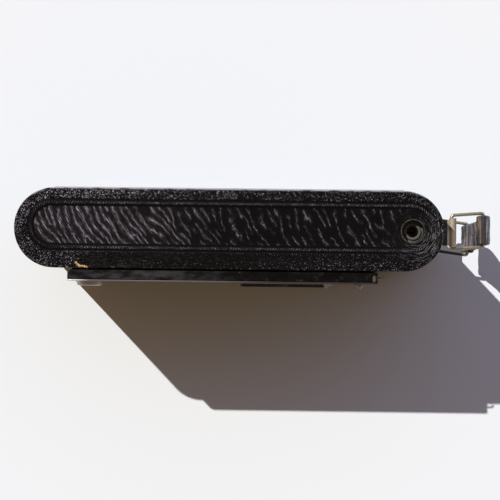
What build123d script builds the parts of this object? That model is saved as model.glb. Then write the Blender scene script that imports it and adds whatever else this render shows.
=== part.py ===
"""Folding roll-film camera, closed, standing on one of its two flat sides.

Frame: millimetres, +Z up along the body's width, +X along its length towards the carrying handle,
-Y towards the front, where the bed opens. The origin is the centre of the lower side face.
"""

import math
import os

from build123d import *

# ---------------------------------------------------------------- driving sizes
body_length = 206.0  # over both round ends, X
body_depth = 38.5  # back to front, Y, and so the diameter of the round ends
body_width = 95.0  # side face to side face, Z
leather = 0.6
plate = 1.2  # casing metal
side_leather_edge = 0.45  # rounding of the upper side's leather
side_leather_lower_edge = 0.3
clearance = 0.3  # between pieces that move past each other
seam_depth = 11.25  # from the back face to the seam where the back cover meets the end walls

end_reach_left = 34.0  # from the left end to the front opening
end_reach_right = 36.0
rail_height = 1.4  # lips along the long edges of the front opening

bed_gap = 0.75  # between body and closed bed
bed_depth = 4.8
bed_overlap_left = 8.6  # past the front opening
bed_overlap_right = 4.8
bed_metal = 0.9
bed_side_margin = 1.5
bed_corner = 2.5
bed_edge = 0.5  # rounding of the bed's front edge
bed_leather = 0.7
bed_leather_inset = 0.7

hinge_inset = 1.7  # hinge axis from the bed's left end
hinge_depth = 1.4  # hinge axis from the bed's back
knuckle_radius = 1.4
hinge_pin_radius = 0.6
hinge_pin_fit = 0.05
leaf_gap = 0.05
leaf_metal = 0.5
outer_knuckle = (8.0, 22.0)  # from the near side face
middle_knuckle_half = 7.5
bed_end_cut = 5.0

gate_reach = 38.0  # from the body's end to the partition beside the spool chamber
gate_metal = 1.0
gate_depth = 6.75  # from the back face to the front face of the film gate
gate_low_z = 9.0
aperture_margin = 11.0  # from each partition to the picture aperture
aperture_rise = 15.5  # from each side face to the picture aperture

spool_gap = 0.4  # flange to end wall
spool_flange_radius = 12.8
spool_flange = 0.8
spool_core_radius = 5.5
spool_low_z = 11.0
spool_bore_radius = 2.4
spool_bore_depth = 8.0
spool_slit = 0.6
pivot_clearance = 0.2
pivot_reach = 4.0
pivot_shoulder_radius = 3.6
pivot_plate_radius = 6.5
pivot_plate = 0.8

roller_gap = 1.2  # partition to roller
roller_set_back = 0.5  # behind the film gate's face
roller_radius = 2.4
roller_axle_radius = 0.9
roller_axle_fit = 0.1
roller_low_z = 11.5
roller_axle_low_z = 9.4
bracket_low_z = 9.5
bracket_depth = 6.0

standard_travel = 98.0
frame_half = 34.0  # lens standard, half its side
frame_corner = 5.0
frame_metal = 1.2
frame_depth = 11.05  # from the body's front face to the standard's front face
frame_flange = 3.0
ear_run = 55.9  # from the bed hinge to the struts' ears
ear_half = 6.0
ear_metal = 1.0
ear_pad = 0.4  # boss between ear and strut
ear_boss_radius = 1.8
ear_depth = 9.0

link_metal = 1.0
brace_plane_z = 3.6  # lower face of the lower brace
strut_plane_z = 5.2
link_pin_depth = 1.7  # link pins from the bed's back
brace_along_less = 19.0  # bed pivot of the brace, from the bed hinge, is this much less than the gate's reach
brace_rise_less = 17.0  # and so is the place where the brace stops in the body
guide_set_back = 3.85  # brace guide behind the body's front face
guide_width = 3.6
guide_slot = 1.6
guide_end = 5.0
guide_metal = 1.4
link_pin_radius = 1.1
link_pin_reach = 4.3
eye_fit = 0.1
strut_half = 2.1
brace_half = 1.9

shutter_radius = 24.0
shutter_depth = 9.0
shutter_metal = 1.0
face_metal = 0.8
lens_radius = 11.0
lens_depth = 4.0
lens_rear_radius = 12.0
lens_bore = 8.5

finder_x = 45.0
finder_rise = 18.0  # from the lens axis
finder_half = 7.0
finder_depth = 12.0
finder_metal = 1.0
finder_gap = 0.4
finder_lug_half = 3.0
finder_pivot_radius = 0.9
finder_lens_radius = 4.0

bush_radius = 5.9
bush_fit = 0.05
key_bore_radius = 2.65

ring_wire = 0.85
ring_half = 8.5
ring_reach = 15.7
ring_corner = 1.3
barrel_reach = 5.8  # from the body's end to the ring's wire
barrel_radius = 1.75
barrel_half = 7.1
bracket_half = 6.3
ring_inset = 17.0  # from each side face
strap_half = 7.3
strap_leather = 1.8
strap_loop_radius = 3.1

leg_inset = 22.3  # from the bed's right end
leg_length = 44.5
leg_width = 9.0
leg_metal = 1.5
leg_gap = 0.7

socket_inset = 7.7  # bed socket from the bed's left end
socket_rise = 17.5  # bed socket from the middle
socket_hole_radius = 2.6
socket_body_radius = 4.3
socket_flange_radius = 6.2
socket_flange = 2.4
side_socket_x = -25.0
side_socket_radius = 6.0
side_socket_depth = 6.0
side_socket_floor = 0.8
side_flange_proud = 2.0
side_flange = 0.8

button_inset = 6.3  # from the bed's right end
button_radius = 2.4
button_height = 2.9
button_travel = 1.5
button_flange = 1.0

# ---------------------------------------------------------------- worked-out sizes
half_length = body_length / 2
mid_z = body_width / 2
end_radius = body_depth / 2
arc_x = half_length - end_radius  # centre of each round end
metal_length = body_length - 2 * leather
metal_depth = body_depth - 2 * leather
inner_depth = metal_depth - 2 * plate
plate_low_z = leather + plate  # inner face of the lower side plate
plate_high_z = body_width - plate_low_z
inner_width = plate_high_z - plate_low_z
front_y = -end_radius
seam_y = end_radius - seam_depth
wall_back_y = -inner_depth / 2
opening_left = end_reach_left - half_length
opening_right = half_length - end_reach_right
bed_left = opening_left - bed_overlap_left
bed_right = opening_right + bed_overlap_right
bed_back_y = front_y - bed_gap
bed_front_y = bed_back_y - bed_depth
bed_floor_y = bed_front_y + bed_metal
bed_length = bed_right - bed_left
bed_mid_x = (bed_left + bed_right) / 2
bed_width = body_width - 2 * bed_side_margin
bed_wall_z = bed_side_margin + bed_metal  # inner face of the bed's lower side wall
cover_front_y = bed_front_y - bed_leather
hinge_x = bed_left + hinge_inset
hinge_y = bed_back_y - hinge_depth
gate_x = half_length - gate_reach  # outer face of the partitions between bellows chamber and spool chambers
gate_y = end_radius - gate_depth
gate_high_z = body_width - gate_low_z
aperture_x = 2 * (gate_x - aperture_margin)
aperture_z = body_width - 2 * aperture_rise
spool_x = half_length - leather - plate - spool_gap - spool_flange_radius
spool_length = body_width - 2 * spool_low_z
roller_x = gate_x + roller_gap + roller_radius
roller_y = gate_y + roller_set_back
roller_length = body_width - 2 * roller_low_z
frame_front_y = front_y + frame_depth
frame_back_y = frame_front_y + frame_metal
ear_x = hinge_x + ear_run
ear_y = frame_front_y + frame_metal / 2
ear_low_z = strut_plane_z + link_metal + clearance + ear_pad
link_pin_y = bed_back_y - link_pin_depth
brace_along = gate_x - brace_along_less
brace_rise = gate_x - brace_rise_less
guide_y = front_y + guide_set_back
face_y = frame_front_y - shutter_depth
finder_z = mid_z + finder_rise
finder_back_y = frame_front_y - finder_gap
finder_front_y = finder_back_y - finder_depth
barrel_x = half_length + barrel_reach
ring_upper_z = body_width - ring_inset
ring_lower_z = ring_inset
leg_right = bed_right - leg_inset
leg_left = leg_right - leg_length
leg_y = cover_front_y - leg_gap
socket_x = bed_left + socket_inset
socket_z = mid_z + socket_rise
button_x = bed_right - button_inset

# The strut's bed pivot lies where its length is the same with the bed closed and open.
strut_rise = ear_x - hinge_x
pin_offset = link_pin_y - hinge_y
strut_set_back = link_pin_y - ear_y
strut_reach = hinge_y - ear_y + standard_travel
strut_along = ((pin_offset - strut_rise) ** 2 + strut_reach**2 - strut_rise**2 - strut_set_back**2) / (
    2 * (strut_reach - strut_rise)
)
strut_pivot = (hinge_x + strut_along, link_pin_y)
strut_end = (ear_x, ear_y)
brace_pivot = (hinge_x + brace_along, link_pin_y)
brace_stop = (hinge_x + brace_rise, guide_y)
brace_length = math.dist((hinge_x + pin_offset, hinge_y - brace_along), brace_stop)
brace_end_x = brace_pivot[0] + math.sqrt(brace_length**2 - (guide_y - link_pin_y) ** 2)
brace_end = (brace_end_x, guide_y)

os.makedirs("parts", exist_ok=True)


def facing_front(y):
    """Sketch plane at that Y, with X and Z as its directions, whose extrusions run towards the front."""
    return Plane.XZ.offset(-y)


def write(solid, name):
    """Labels a finished piece and writes it as its own STEP file."""
    solid.label = name
    export_step(solid, f"parts/{name}.step")


def mirrored(solid):
    """The same piece on the other side of the body's middle plane."""
    return mirror(solid, about=Plane.XY.offset(mid_z))


def write_pair(solid, name):
    """Writes a piece and its twin on the other side as two solids of one file."""
    write(Compound(children=[solid, mirrored(solid)]), name)


def casing_band(outer_length, outer_depth, thickness):
    """Sketch of the body's outline as a band of that thickness."""
    SlotOverall(outer_length, outer_depth)
    SlotOverall(outer_length - 2 * thickness, outer_depth - 2 * thickness, mode=Mode.SUBTRACT)


def keep_between(low_x, high_x, low_y, high_y):
    """Keeps what a sketch has inside that rectangle."""
    with Locations(((low_x + high_x) / 2, (low_y + high_y) / 2)):
        Rectangle(high_x - low_x, high_y - low_y, mode=Mode.INTERSECT)


def link_bar(start, end, half, plane_z, thickness, hole, end_hole):
    """Flat bar with round ends and an eye at each, lying parallel to the side faces."""
    length = math.dist(start, end)
    middle = ((start[0] + end[0]) / 2, (start[1] + end[1]) / 2)
    turn = math.degrees(math.atan2(end[1] - start[1], end[0] - start[0]))
    with BuildPart() as bar:
        with BuildSketch(Plane.XY.offset(plane_z)):
            with Locations(Location(middle, turn)):
                SlotCenterToCenter(length, 2 * half)
            with Locations(start):
                Circle(hole, mode=Mode.SUBTRACT)
            with Locations(end):
                Circle(end_hole, mode=Mode.SUBTRACT)
        extrude(amount=thickness)
    return bar.part


# ---------------------------------------------------------------- casing
with BuildPart() as side_plate_upper:
    with BuildSketch(Plane.XY.offset(plate_high_z)):
        SlotOverall(metal_length, metal_depth)
        with Locations((spool_x, 0)):
            Circle(bush_radius + bush_fit, mode=Mode.SUBTRACT)
    extrude(amount=plate)
write(side_plate_upper.part, "side_plate_upper")

with BuildPart() as side_plate_lower:
    with BuildSketch(Plane.XY.offset(leather)):
        SlotOverall(metal_length, metal_depth)
        with Locations((side_socket_x, 0)):
            Circle(side_socket_radius, mode=Mode.SUBTRACT)
    extrude(amount=plate)
write(side_plate_lower.part, "side_plate_lower")

with BuildPart() as side_leather_upper:
    with BuildSketch(Plane.XY.offset(body_width - leather)):
        SlotOverall(body_length, body_depth)
        with Locations((spool_x, 0)):
            Circle(bush_radius + bush_fit, mode=Mode.SUBTRACT)
    extrude(amount=leather)
    fillet(side_leather_upper.faces().sort_by(Axis.Z)[-1].outer_wire().edges(), side_leather_edge)
write(side_leather_upper.part, "side_leather_upper")

with BuildPart() as side_leather_lower:
    with BuildSketch():
        SlotOverall(body_length, body_depth)
        with Locations((side_socket_x, 0)):
            Circle(side_socket_radius, mode=Mode.SUBTRACT)
    extrude(amount=leather)
    fillet(side_leather_lower.faces().sort_by(Axis.Z)[0].outer_wire().edges(), side_leather_lower_edge)
write(side_leather_lower.part, "side_leather_lower")

end_spans = {"left": (-body_length, opening_left), "right": (opening_right, body_length)}
for side, (low_x, high_x) in end_spans.items():
    with BuildPart() as end_wall:
        with BuildSketch(Plane.XY.offset(plate_low_z)):
            casing_band(metal_length, metal_depth, plate)
            keep_between(low_x, high_x, -body_depth, seam_y)
        extrude(amount=inner_width)
    write(end_wall.part, f"end_wall_{side}")

    with BuildPart() as end_leather:
        with BuildSketch(Plane.XY.offset(leather)):
            casing_band(body_length, body_depth, leather)
            keep_between(low_x, high_x, -body_depth, seam_y)
        extrude(amount=body_width - 2 * leather)
    write(end_leather.part, f"end_leather_{side}")

with BuildPart() as front_rail_lower:
    with BuildSketch(Plane.XY.offset(plate_low_z)):
        casing_band(metal_length, metal_depth, plate)
        keep_between(opening_left, opening_right, -body_depth, 0)
    extrude(amount=rail_height)
write_pair(front_rail_lower.part, "front_rails")

# ---------------------------------------------------------------- back cover
cover_gap = 0.15
bead = 1.0
bead_proud = 0.5
window_x = 28.0
window_radius = 5.5
window_rim = 0.8
window_flange = 1.5
bezel_proud = 0.6
latch_inset = 11.75  # from the middle of the round end
latch_x = arc_x - latch_inset
latch_travel = 3.0
latch_slot = (7.4, 2.4)
latch_neck = (3.6, 2.0)
latch_shift = (latch_slot[0] - latch_neck[0] - latch_travel) / 2 - latch_slot[0] / 2 + latch_neck[0] / 2
thumb = (9.0, 5.0)
thumb_corner = 1.2
thumb_metal = 1.2
thumb_grooves = 4
groove_width = 0.6
groove_pitch = 1.8
groove_depth = 0.4
keeper_metal = 0.8
keeper_longer = 1.0
keeper_corner = 1.0
cover_low_z = plate_low_z + cover_gap
cover_high_z = plate_high_z - cover_gap

with BuildPart() as back_cover:
    with BuildSketch(Plane.XY.offset(cover_low_z)):
        casing_band(metal_length, metal_depth, plate)
        keep_between(-body_length, body_length, seam_y + cover_gap, body_depth)
    extrude(amount=cover_high_z - cover_low_z)
    with BuildSketch(facing_front(end_radius + bead_proud)):
        for bead_z in (cover_low_z + bead / 2, cover_high_z - bead / 2):
            with Locations((0, bead_z)):
                Rectangle(2 * arc_x, bead)
    extrude(amount=leather + bead_proud)
    with BuildSketch(facing_front(end_radius)):
        with Locations((window_x, mid_z)):
            Circle(window_radius)
        with Locations((-latch_x, mid_z), (latch_x, mid_z)):
            SlotOverall(*latch_slot)
    extrude(amount=leather + plate, mode=Mode.SUBTRACT)
write(back_cover.part, "back_cover")

with BuildPart() as back_leather:
    with BuildSketch(Plane.XY.offset(cover_low_z + bead)):
        casing_band(body_length, body_depth, leather)
        keep_between(-body_length, body_length, seam_y + cover_gap, body_depth)
    extrude(amount=cover_high_z - cover_low_z - 2 * bead)
    with BuildSketch(facing_front(end_radius)):
        with Locations((window_x, mid_z)):
            Circle(window_radius)
        with Locations((-latch_x, mid_z), (latch_x, mid_z)):
            SlotOverall(*latch_slot)
    extrude(amount=leather, mode=Mode.SUBTRACT)
write(back_leather.part, "back_leather")

with BuildPart() as red_window_bezel:
    with BuildSketch(facing_front(end_radius + bezel_proud)):
        with Locations((window_x, mid_z)):
            Circle(window_radius + window_flange)
            Circle(window_radius - window_rim, mode=Mode.SUBTRACT)
    extrude(amount=bezel_proud)
    with BuildSketch(facing_front(end_radius)):
        with Locations((window_x, mid_z)):
            Circle(window_radius)
            Circle(window_radius - window_rim, mode=Mode.SUBTRACT)
    extrude(amount=leather)
write(red_window_bezel.part, "red_window_bezel")

with BuildPart() as red_window:
    with BuildSketch(facing_front(end_radius - leather)):
        with Locations((window_x, mid_z)):
            Circle(window_radius)
    extrude(amount=plate)
write(red_window.part, "red_window")

# Each latch slides outwards: a thumb piece outside, a neck through the slot and a keeper inside.
for side, sign in {"left": -1, "right": 1}.items():
    latch_place = (sign * (latch_x + latch_shift), mid_z)
    thumb_y = end_radius + clearance + thumb_metal
    keeper_y = end_radius - leather - plate - cover_gap
    with BuildPart() as back_latch:
        with BuildSketch(facing_front(thumb_y)):
            with Locations(latch_place):
                RectangleRounded(*thumb, thumb_corner)
        extrude(amount=thumb_metal)
        with BuildSketch(facing_front(end_radius + clearance)):
            with Locations(latch_place):
                SlotOverall(*latch_neck)
        extrude(amount=end_radius + clearance - keeper_y)
        with BuildSketch(facing_front(keeper_y)):
            with Locations(latch_place):
                RectangleRounded(thumb[0] + keeper_longer, thumb[1], keeper_corner)
        extrude(amount=keeper_metal)
        with BuildSketch(facing_front(thumb_y)):
            with Locations(latch_place):
                with GridLocations(groove_pitch, thumb[1], thumb_grooves, 1):
                    Rectangle(groove_width, thumb[1])
        extrude(amount=groove_depth, mode=Mode.SUBTRACT)
    write(back_latch.part, f"back_latch_{side}")

# ---------------------------------------------------------------- film gate and spool chambers
ear_reach = roller_x - gate_x + roller_radius
gate_shelf = 1.0  # how far the gate's long walls reach in front of the middle
bracket_shift = 1.0
with BuildPart() as film_gate:
    for x in (-gate_x + gate_metal / 2, gate_x - gate_metal / 2):
        with BuildSketch(Plane.XY.offset(plate_low_z)):
            with Locations((x, (wall_back_y + gate_y) / 2)):
                Rectangle(gate_metal, gate_y - wall_back_y)
        extrude(amount=inner_width)
    with BuildSketch(facing_front(gate_y + gate_metal)):
        with Locations((0, mid_z)):
            Rectangle(2 * gate_x, gate_high_z - gate_low_z)
            Rectangle(aperture_x, aperture_z, mode=Mode.SUBTRACT)
    extrude(amount=gate_metal)
    for z in (gate_low_z, gate_high_z - gate_metal):
        with BuildSketch(Plane.XY.offset(z)):
            with Locations((0, (gate_y - gate_shelf) / 2)):
                Rectangle(2 * gate_x, gate_y + gate_shelf)
        extrude(amount=gate_metal)
    for z in (bracket_low_z, body_width - bracket_low_z - gate_metal):
        with BuildSketch(Plane.XY.offset(z)):
            for side_sign in (-1, 1):
                with Locations((side_sign * (gate_x + ear_reach / 2), roller_y - bracket_shift)):
                    Rectangle(ear_reach, bracket_depth)
                with Locations((side_sign * roller_x, roller_y)):
                    Circle(roller_axle_radius + roller_axle_fit, mode=Mode.SUBTRACT)
        extrude(amount=gate_metal)
write(film_gate.part, "film_gate")

for side, side_sign in {"left": -1, "right": 1}.items():
    with BuildPart() as guide_roller:
        with BuildSketch(Plane.XY.offset(roller_low_z)):
            with Locations((side_sign * roller_x, roller_y)):
                Circle(roller_radius)
        extrude(amount=roller_length)
        with BuildSketch(Plane.XY.offset(roller_axle_low_z)):
            with Locations((side_sign * roller_x, roller_y)):
                Circle(roller_axle_radius)
        extrude(amount=body_width - 2 * roller_axle_low_z)
    write(guide_roller.part, f"guide_roller_{side}")

spool_high_z = spool_low_z + spool_length
for name, x in {"supply_spool": -spool_x, "takeup_spool": spool_x}.items():
    with BuildPart() as spool:
        with BuildSketch(Plane.XY.offset(spool_low_z)):
            with Locations((x, 0)):
                Circle(spool_core_radius)
                Rectangle(2 * spool_bore_radius, spool_slit, mode=Mode.SUBTRACT)
        extrude(amount=spool_length)
        for z in (spool_low_z, spool_high_z - spool_flange):
            with BuildSketch(Plane.XY.offset(z)):
                with Locations((x, 0)):
                    Circle(spool_flange_radius)
            extrude(amount=spool_flange)
        for z in (spool_low_z, spool_high_z - spool_bore_depth):
            with BuildSketch(Plane.XY.offset(z)):
                with Locations((x, 0)):
                    Circle(spool_bore_radius)
            extrude(amount=spool_bore_depth, mode=Mode.SUBTRACT)
    write(spool.part, name)

with BuildPart() as spool_pivot:
    with BuildSketch(Plane.XY.offset(plate_low_z)):
        with Locations((-spool_x, 0)):
            Circle(pivot_plate_radius)
    extrude(amount=pivot_plate)
    with BuildSketch(Plane.XY.offset(plate_low_z)):
        with Locations((-spool_x, 0)):
            Circle(pivot_shoulder_radius)
    extrude(amount=spool_low_z - plate_low_z - clearance)
    with BuildSketch(Plane.XY.offset(plate_low_z)):
        with Locations((-spool_x, 0)):
            Circle(spool_bore_radius - pivot_clearance)
    extrude(amount=spool_low_z - plate_low_z + pivot_reach)
takeup_pivot = mirror(spool_pivot.part, about=Plane.YZ)
write(Compound(children=[spool_pivot.part, mirrored(spool_pivot.part), takeup_pivot]), "spool_pivots")

# The winding key's cup: a stepped bush let into the upper side plate.
cup_depth = 4.6
cup_floor = 1.0
cup_wall = 0.5
cup_proud = 0.15
cup_flange = 0.8
cup_flange_proud = 2.0
boss_radius = 3.9
boss_height = 1.0
cup_bottom_z = body_width - cup_depth - cup_floor
with BuildPart() as winding_bush:
    with BuildSketch(Plane.XY.offset(cup_bottom_z)):
        with Locations((spool_x, 0)):
            Circle(bush_radius)
    extrude(amount=cup_depth + cup_floor + cup_proud)
    with BuildSketch(Plane.XY.offset(plate_high_z - cup_flange)):
        with Locations((spool_x, 0)):
            Circle(bush_radius + cup_flange_proud)
    extrude(amount=cup_flange)
    with BuildSketch(Plane.XY.offset(cup_bottom_z + cup_floor)):
        with Locations((spool_x, 0)):
            Circle(bush_radius - cup_wall)
            Circle(boss_radius, mode=Mode.SUBTRACT)
    extrude(amount=2 * cup_depth, mode=Mode.SUBTRACT)
    with BuildSketch(Plane.XY.offset(cup_bottom_z + cup_floor + boss_height)):
        with Locations((spool_x, 0)):
            Circle(boss_radius)
    extrude(amount=cup_depth, mode=Mode.SUBTRACT)
    with BuildSketch(Plane.XY.offset(cup_bottom_z)):
        with Locations((spool_x, 0)):
            Circle(key_bore_radius)
    extrude(amount=cup_depth, mode=Mode.SUBTRACT)
write(winding_bush.part, "winding_bush")

with BuildPart() as side_socket:
    with BuildSketch(Plane.XY):
        with Locations((side_socket_x, 0)):
            Circle(side_socket_radius)
    extrude(amount=side_socket_depth)
    with BuildSketch(Plane.XY.offset(plate_low_z)):
        with Locations((side_socket_x, 0)):
            Circle(side_socket_radius + side_flange_proud)
    extrude(amount=side_flange)
    with BuildSketch(Plane.XY):
        with Locations((side_socket_x, 0)):
            Circle(socket_hole_radius)
    extrude(amount=side_socket_depth - side_socket_floor, mode=Mode.SUBTRACT)
write(side_socket.part, "side_tripod_socket")

# ---------------------------------------------------------------- bed, its hinge and its fittings
knuckle_top = body_width - outer_knuckle[0]
knuckle_span = knuckle_top - outer_knuckle[0]
middle_knuckle = (mid_z - middle_knuckle_half, mid_z + middle_knuckle_half)
body_knuckles = (outer_knuckle, middle_knuckle, (body_width - outer_knuckle[1], knuckle_top))
bed_knuckles = (
    (outer_knuckle[1] + clearance, middle_knuckle[0] - clearance),
    (middle_knuckle[1] + clearance, body_width - outer_knuckle[1] - clearance),
)
leaf_y = front_y - leaf_gap
leaf_end = 0.1  # the leaf's reach past the hinge axis
pin_proud = 1.0
with BuildPart() as hinge_leaf:
    with BuildSketch(facing_front(leaf_y)):
        with Locations(((hinge_x - leaf_end + opening_left) / 2, mid_z)):
            Rectangle(opening_left - hinge_x + leaf_end, knuckle_span)
    extrude(amount=leaf_metal)
    for low_z, high_z in body_knuckles:
        with BuildSketch(Plane.XY.offset(low_z)):
            with Locations((hinge_x, hinge_y)):
                Circle(knuckle_radius)
            with Locations((hinge_x + knuckle_radius / 2, (hinge_y + leaf_y) / 2)):
                Rectangle(knuckle_radius, leaf_y - hinge_y)
        extrude(amount=high_z - low_z)
    for low_z, high_z in bed_knuckles:
        with BuildSketch(Plane.XY.offset(low_z - clearance)):
            with Locations((hinge_x, hinge_y)):
                Circle(knuckle_radius + clearance)
        extrude(amount=high_z - low_z + 2 * clearance, mode=Mode.SUBTRACT)
    with BuildSketch(Plane.XY.offset(outer_knuckle[0])):
        with Locations((hinge_x, hinge_y)):
            Circle(hinge_pin_radius + hinge_pin_fit)
    extrude(amount=knuckle_span, mode=Mode.SUBTRACT)
write(hinge_leaf.part, "bed_hinge_leaf")

with BuildPart() as hinge_pin:
    with BuildSketch(Plane.XY.offset(outer_knuckle[0] - pin_proud)):
        with Locations((hinge_x, hinge_y)):
            Circle(hinge_pin_radius)
    extrude(amount=knuckle_span + 2 * pin_proud)
write(hinge_pin.part, "bed_hinge_pin")

socket_fit = 0.05
button_fit = 0.1
knuckle_cut_margin = 2.5  # beyond the knuckles at each end
swing_cut_length = 2.0
swing_cut_depth = 0.9
knuckle_root = 0.2  # the bed's knuckles reach this far into its floor
with BuildPart() as bed:
    with BuildSketch(facing_front(bed_back_y)):
        with Locations((bed_mid_x, mid_z)):
            RectangleRounded(bed_length, bed_width, bed_corner)
    extrude(amount=bed_back_y - bed_front_y)
    with BuildSketch(facing_front(bed_back_y)):
        with Locations((bed_mid_x, mid_z)):
            RectangleRounded(bed_length - 2 * bed_metal, bed_width - 2 * bed_metal, bed_corner - bed_metal)
    extrude(amount=bed_back_y - bed_floor_y, mode=Mode.SUBTRACT)
    # The end wall beside the hinge is cut away for the knuckles, and its corners are cleared for the swing.
    with BuildSketch(facing_front(bed_back_y)):
        with Locations((bed_left + bed_end_cut / 2, mid_z)):
            Rectangle(bed_end_cut, knuckle_span + 2 * knuckle_cut_margin)
    extrude(amount=bed_back_y - bed_floor_y, mode=Mode.SUBTRACT)
    with BuildSketch(facing_front(bed_back_y)):
        with Locations((bed_left + swing_cut_length / 2, mid_z)):
            Rectangle(swing_cut_length, bed_width)
    extrude(amount=swing_cut_depth, mode=Mode.SUBTRACT)
    for low_z, high_z in bed_knuckles:
        with BuildSketch(Plane.XY.offset(low_z)):
            with Locations((hinge_x, hinge_y)):
                Circle(knuckle_radius)
            with Locations((hinge_x, (hinge_y + bed_floor_y - knuckle_root) / 2)):
                Rectangle(2 * knuckle_radius, hinge_y - bed_floor_y + knuckle_root)
        extrude(amount=high_z - low_z)
    with BuildSketch(Plane.XY.offset(bed_knuckles[0][0])):
        with Locations((hinge_x, hinge_y)):
            Circle(hinge_pin_radius + hinge_pin_fit)
    extrude(amount=bed_knuckles[-1][1] - bed_knuckles[0][0], mode=Mode.SUBTRACT)
    with BuildSketch(facing_front(bed_back_y)):
        with Locations((socket_x, socket_z)):
            Circle(socket_body_radius + socket_fit)
        with Locations((button_x, mid_z)):
            Circle(button_radius + button_fit)
    extrude(amount=bed_back_y - bed_front_y, mode=Mode.SUBTRACT)
    fillet(bed.faces().sort_by(Axis.Y)[0].outer_wire().edges(), bed_edge)
write(bed.part, "bed")

with BuildPart() as bed_cover:
    with BuildSketch(facing_front(bed_front_y)):
        with Locations((bed_mid_x, mid_z)):
            RectangleRounded(
                bed_length - 2 * bed_leather_inset,
                bed_width - 2 * bed_leather_inset,
                bed_corner - bed_leather_inset,
            )
        with Locations((socket_x, socket_z)):
            Circle(socket_body_radius + socket_fit, mode=Mode.SUBTRACT)
        with Locations((button_x, mid_z)):
            Circle(button_radius + button_fit, mode=Mode.SUBTRACT)
    extrude(amount=bed_leather)
write(bed_cover.part, "bed_leather")

socket_edge = 0.6
socket_hole_depth = 6.8
with BuildPart() as bed_socket:
    with BuildSketch(facing_front(cover_front_y)):
        with Locations((socket_x, socket_z)):
            Circle(socket_flange_radius)
    extrude(amount=socket_flange)
    fillet(bed_socket.faces().sort_by(Axis.Y)[0].outer_wire().edges(), socket_edge)
    with BuildSketch(facing_front(bed_back_y - clearance)):
        with Locations((socket_x, socket_z)):
            Circle(socket_body_radius)
    extrude(amount=bed_back_y - clearance - cover_front_y)
    with BuildSketch(facing_front(cover_front_y - socket_flange)):
        with Locations((socket_x, socket_z)):
            Circle(socket_hole_radius)
    extrude(amount=-socket_hole_depth, mode=Mode.SUBTRACT)
write(bed_socket.part, "bed_tripod_socket")

with BuildPart() as bed_pins:
    for low_z in (bed_wall_z, body_width - bed_wall_z - link_pin_reach):
        with BuildSketch(Plane.XY.offset(low_z)):
            with Locations(strut_pivot, brace_pivot):
                Circle(link_pin_radius)
        extrude(amount=link_pin_reach)
write(bed_pins.part, "bed_pivot_pins")

brace_lower = link_bar(
    brace_pivot, brace_end, brace_half, brace_plane_z, link_metal, link_pin_radius + eye_fit, link_pin_radius
)
write_pair(brace_lower, "bed_braces")

with BuildPart() as guide_lower:
    with BuildSketch(Plane.XY.offset(plate_low_z)):
        with Locations(((brace_stop[0] + brace_end_x) / 2, guide_y)):
            Rectangle(brace_end_x - brace_stop[0] + 2 * guide_end, guide_width)
            SlotCenterToCenter(brace_end_x - brace_stop[0], guide_slot, mode=Mode.SUBTRACT)
    extrude(amount=guide_metal)
write_pair(guide_lower.part, "brace_guides")

with BuildPart() as latch_button:
    with BuildSketch(Plane.YZ.offset(button_x)) as dome:
        with BuildLine():
            Line((cover_front_y, mid_z), (cover_front_y - button_height, mid_z))
            ThreePointArc(
                (cover_front_y - button_height, mid_z),
                (cover_front_y - 0.72 * button_height, mid_z + 0.7 * button_radius),
                (cover_front_y, mid_z + button_radius),
            )
            Line((cover_front_y, mid_z + button_radius), (cover_front_y, mid_z))
        make_face()
    revolve(axis=Axis((button_x, 0, mid_z), (0, 1, 0)))
    with BuildSketch(facing_front(bed_floor_y + button_flange)):
        with Locations((button_x, mid_z)):
            Circle(button_radius)
    extrude(amount=bed_floor_y + button_flange - cover_front_y)
write(latch_button.part, "bed_latch_button")

spring_y = bed_floor_y + button_flange + button_travel + clearance
spring_metal = 0.5
spring_half = 3.5
spring_length = 20.0
spring_shift = 6.0  # from the button to the spring's middle
spring_foot = 1.6
foot_shifts = (-15.0, 3.2)  # from the button
nose_metal = 1.0
nose_y = wall_back_y + 1.5
nose_gap = 0.6  # to the edge of the front opening
with BuildPart() as latch_catch:
    with BuildSketch(facing_front(spring_y + spring_metal)):
        with Locations((button_x - spring_shift, mid_z)):
            Rectangle(spring_length, 2 * spring_half)
    extrude(amount=spring_metal)
    with BuildSketch(facing_front(spring_y)):
        for foot_shift in foot_shifts:
            with Locations((button_x + foot_shift, mid_z)):
                Rectangle(spring_foot, 2 * spring_half)
    extrude(amount=spring_y - bed_floor_y)
    with BuildSketch(facing_front(nose_y)):
        with Locations((opening_right - nose_gap - nose_metal / 2, mid_z)):
            Rectangle(nose_metal, 2 * spring_half)
    extrude(amount=nose_y - spring_y)
write(latch_catch.part, "bed_latch_catch")

leg_barrel = 1.1
leg_pin = 0.5
leg_corner = 1.6
leg_pin_fit = 0.1
cheek_proud = 0.2
cheek_shift = 0.5
cheek_length = 4.0
cheek_foot_shift = 3.4
cheek_foot_metal = 0.4
leg_pivot = (leg_right - leg_barrel, cover_front_y - leg_barrel - clearance)
cheek_metal = 1.0
cheek_gap = 0.3
with BuildPart() as leg:
    with BuildSketch(facing_front(leg_y)):
        with Locations(((leg_left + leg_pivot[0]) / 2, mid_z)):
            Rectangle(leg_pivot[0] - leg_left, leg_width)
    extrude(amount=leg_metal)
    fillet(leg.edges().filter_by(Axis.Y).group_by(Axis.X)[0], leg_corner)
    with BuildSketch(Plane.XY.offset(mid_z - leg_width / 2)):
        with Locations(leg_pivot):
            Circle(leg_barrel)
    extrude(amount=leg_width)
    with BuildSketch(Plane.XY.offset(mid_z - leg_width / 2)):
        with Locations(leg_pivot):
            Circle(leg_pin + leg_pin_fit)
    extrude(amount=leg_width, mode=Mode.SUBTRACT)
write(leg.part, "stand_leg")

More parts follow.
